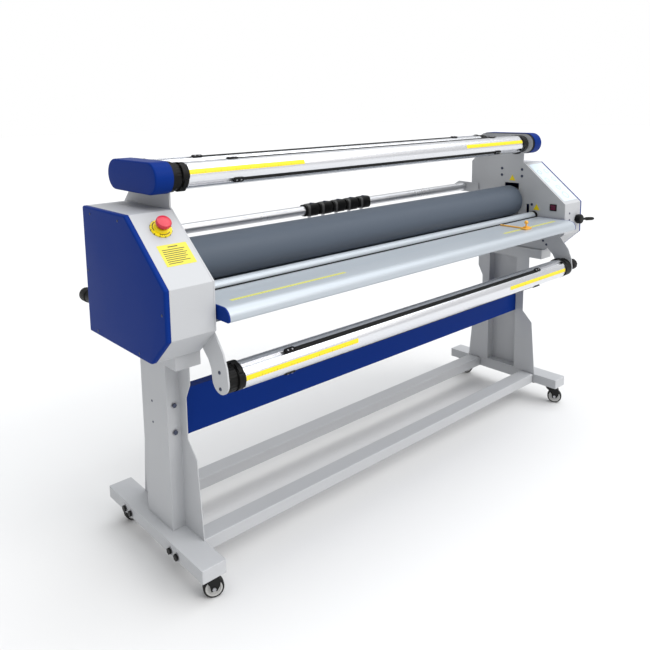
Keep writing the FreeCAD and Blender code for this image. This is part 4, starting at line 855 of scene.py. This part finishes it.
def make_caster(name, x, y, heading):
    """A swivelling caster: plate, ball race, pressed fork, and a treaded wheel with hub covers."""
    fork_body = f"{name}_swivel_body"
    wheel_body = f"{name}_wheel_body"
    turn = math.radians(heading)
    axes = ((math.cos(turn), math.sin(turn), 0.0), (-math.sin(turn), math.cos(turn), 0.0), (0.0, 0.0, 1.0))
    wheel = (x + 0.018 * math.sin(turn), y - 0.018 * math.cos(turn), 0.029)
    race = Build((x, y, 0.0), axes)
    race.lathe(
        [(0.0630, 0.0), (0.0630, 0.0150), (0.0650, 0.0190), (0.0690, 0.0205), (0.0725, 0.0195),
         (0.0735, 0.0175),
         (0.0745, 0.0195), (0.0772, 0.0198), (0.0772, 0.0)],
        (0.0, 0.0), "z", 56,
    )
    race_piece = race.done(f"{name}_race", FINISHES["black_steel"], fork_body, "black_steel", 0.0002)
    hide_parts(f"{name}_fork")
    fork = Build(wheel, axes)
    hood = [
        (0.0335, 0.0345), (0.0335, 0.0380), (-0.0040, 0.0380), (-0.0150, 0.0310), (-0.0185, 0.0180),
        (-0.0160, 0.0060),
        (-0.0085, -0.0075), (0.0085, -0.0075), (0.0115, 0.0100), (0.0220, 0.0250),
    ]
    for side in (-1, 1):
        x_pair = sorted((0.0128 * side, 0.0152 * side))
        fork.extrude(hood, x_pair[0], x_pair[1], "x")
    roof = [
        (0.0335, 0.0350), (0.0335, 0.0380), (-0.0040, 0.0380), (-0.0150, 0.0310), (-0.0130, 0.0300),
        (-0.0030, 0.0350),
    ]
    fork.extrude(roof, -0.0150, 0.0150, "x")
    fork.done(f"{name}_cheeks", FINISHES["black_steel"], fork_body, "black_steel", 0.0009)
    pin = Build(wheel, axes)
    for side in (-1, 1):
        x_pair = sorted((0.0152 * side, 0.0182 * side))
        pin.extrude(regular(6, 0.0058), x_pair[0], x_pair[1], "x")
    pin.lathe([(-0.0165, 0.0), (-0.0165, 0.0038), (0.0165, 0.0038), (0.0165, 0.0)], (0.0, 0.0), "x", 24)
    pin.done(f"{name}_axle", SCREW, fork_body, "roller_steel", 0.0004)
    tyre = Build(wheel, axes)
    half = 0.011
    tyre.lathe(
        [(-half, 0.0235), (-half, 0.0265), (-half + 0.0012, 0.0280), (-half + 0.0035, 0.0288),
         (-0.0025, 0.0290),
         (-0.0018, 0.0284), (0.0018, 0.0284), (0.0025, 0.0290), (half - 0.0035, 0.0288),
         (half - 0.0012, 0.0280),
         (half, 0.0265), (half, 0.0235)],
        (0.0, 0.0), "x", 80, None, True,
    )
    tyre_piece = tyre.done(f"{name}_tyre", FINISHES["caster_rubber"], wheel_body, "caster_rubber", 0.0)
    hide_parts(f"{name}_wheel")
    rim = Build(wheel, axes)
    rim.lathe(
        [(-half + 0.0006, 0.0041), (-half + 0.0004, 0.0085), (-half + 0.0022, 0.0100),
         (-half + 0.0026, 0.0175),
         (-half + 0.0002, 0.0190), (-half + 0.0002, 0.0234), (half - 0.0002, 0.0234), (half - 0.0002, 0.0190),
         (half - 0.0026, 0.0175), (half - 0.0022, 0.0100), (half - 0.0004, 0.0085), (half - 0.0006, 0.0041)],
        (0.0, 0.0), "x", 64, None, True,
    )
    rim.done(f"{name}_rim", PALE_HUB, wheel_body, "caster_rubber", 0.0)


def make_cover_collars():
    """The dark sleeves between the plates' tops and the blue covers over the shaft ends."""
    collars = Build()
    steps = 24
    for side in (-1, 1):
        rings = []
        for radius in (0.0412, 0.0404):
            ring = []
            for (y, z), way in ((TAKEUP_AT, 1), (SUPPLY_AT, -1)):
                for k in range(steps + 1):
                    turn = math.pi * (k / steps - 0.5)
                    ring.append((y + way * radius * math.cos(turn), z + way * radius * math.sin(turn)))
            rings.append(ring)
        count = len(rings[0])
        verts = [(x * side, y, z) for x in (0.8612, 0.8738) for ring in rings for y, z in ring]
        faces = []
        for first, second in ((0, 1), (1, 3), (3, 2), (2, 0)):
            for k in range(count):
                j = (k + 1) % count
                faces.append([first * count + k, first * count + j, second * count + j, second * count + k])
        collars.put(verts, faces)
    collars.done("cover_collars", FINISHES["black_plastic"], "frame", "black_plastic", 0.0)


make_cover_collars()
make_tension_knob()
make_emergency_stop()
make_labels()
make_control_panel()
make_power_switch()
make_screws()
make_frame_bolts()
make_lift_lever()
make_edge_guide()
make_table_trim()
make_slitters()
make_power_inlet()
make_levellers()
for caster, across, along, heading in (
    ("front_left_caster", -0.891, -0.229, 66.0),
    ("front_right_caster", 0.891, -0.229, 28.0),
    ("rear_left_caster", -0.891, 0.229, 90.0),
    ("rear_right_caster", 0.891, 0.229, 20.0),
):
    make_caster(caster, across, along, heading)

# ---------------------------------------------------------------- stage


def make_stage():
    """A plain pale floor under soft studio light."""
    half = 30.0
    mesh = bpy.data.meshes.new("floor")
    corners = [(-half, -half, 0.0), (half, -half, 0.0), (half, half, 0.0), (-half, half, 0.0)]
    mesh.from_pydata(corners, [], [[0, 1, 2, 3]])
    mesh.materials.append(
        make_finish("floor_paint", (0.72, 0.72, 0.72), 0.9, grain=60.0, relief=0.0001, mottle=0.005),
    )
    floor = bpy.data.objects.new("floor", mesh)
    bpy.context.scene.collection.objects.link(floor)
    world = bpy.data.worlds.new("studio")
    world.use_nodes = True
    tree = world.node_tree
    background = tree.nodes["Background"]
    background.inputs["Color"].default_value = (1.0, 1.0, 1.0, 1.0)
    path = tree.nodes.new("ShaderNodeLightPath")
    level = tree.nodes.new("ShaderNodeMapRange")
    level.inputs["To Min"].default_value = 0.56
    level.inputs["To Max"].default_value = 1.0
    tree.links.new(path.outputs["Is Camera Ray"], level.inputs["Value"])
    tree.links.new(level.outputs["Result"], background.inputs["Strength"])
    bpy.context.scene.world = world
    for name, aim, strength, angle, tint in (
        ("overhead", (0.22, -0.30, 1.0), 2.9, 80.0, (0.96, 0.98, 1.0)),
        ("front", (0.45, -1.0, 0.60), 0.85, 40.0, (1.0, 0.95, 0.91)),
    ):
        data = bpy.data.lights.new(name, "SUN")
        data.energy = strength
        data.angle = math.radians(angle)
        data.color = tint
        lamp = bpy.data.objects.new(name, data)
        lamp.location = Vector(aim) * 5.0
        lamp.rotation_mode = "QUATERNION"
        lamp.rotation_quaternion = Vector(aim).to_track_quat("Z", "Y")
        bpy.context.scene.collection.objects.link(lamp)
    bpy.context.scene.view_settings.view_transform = "Standard"


make_stage()
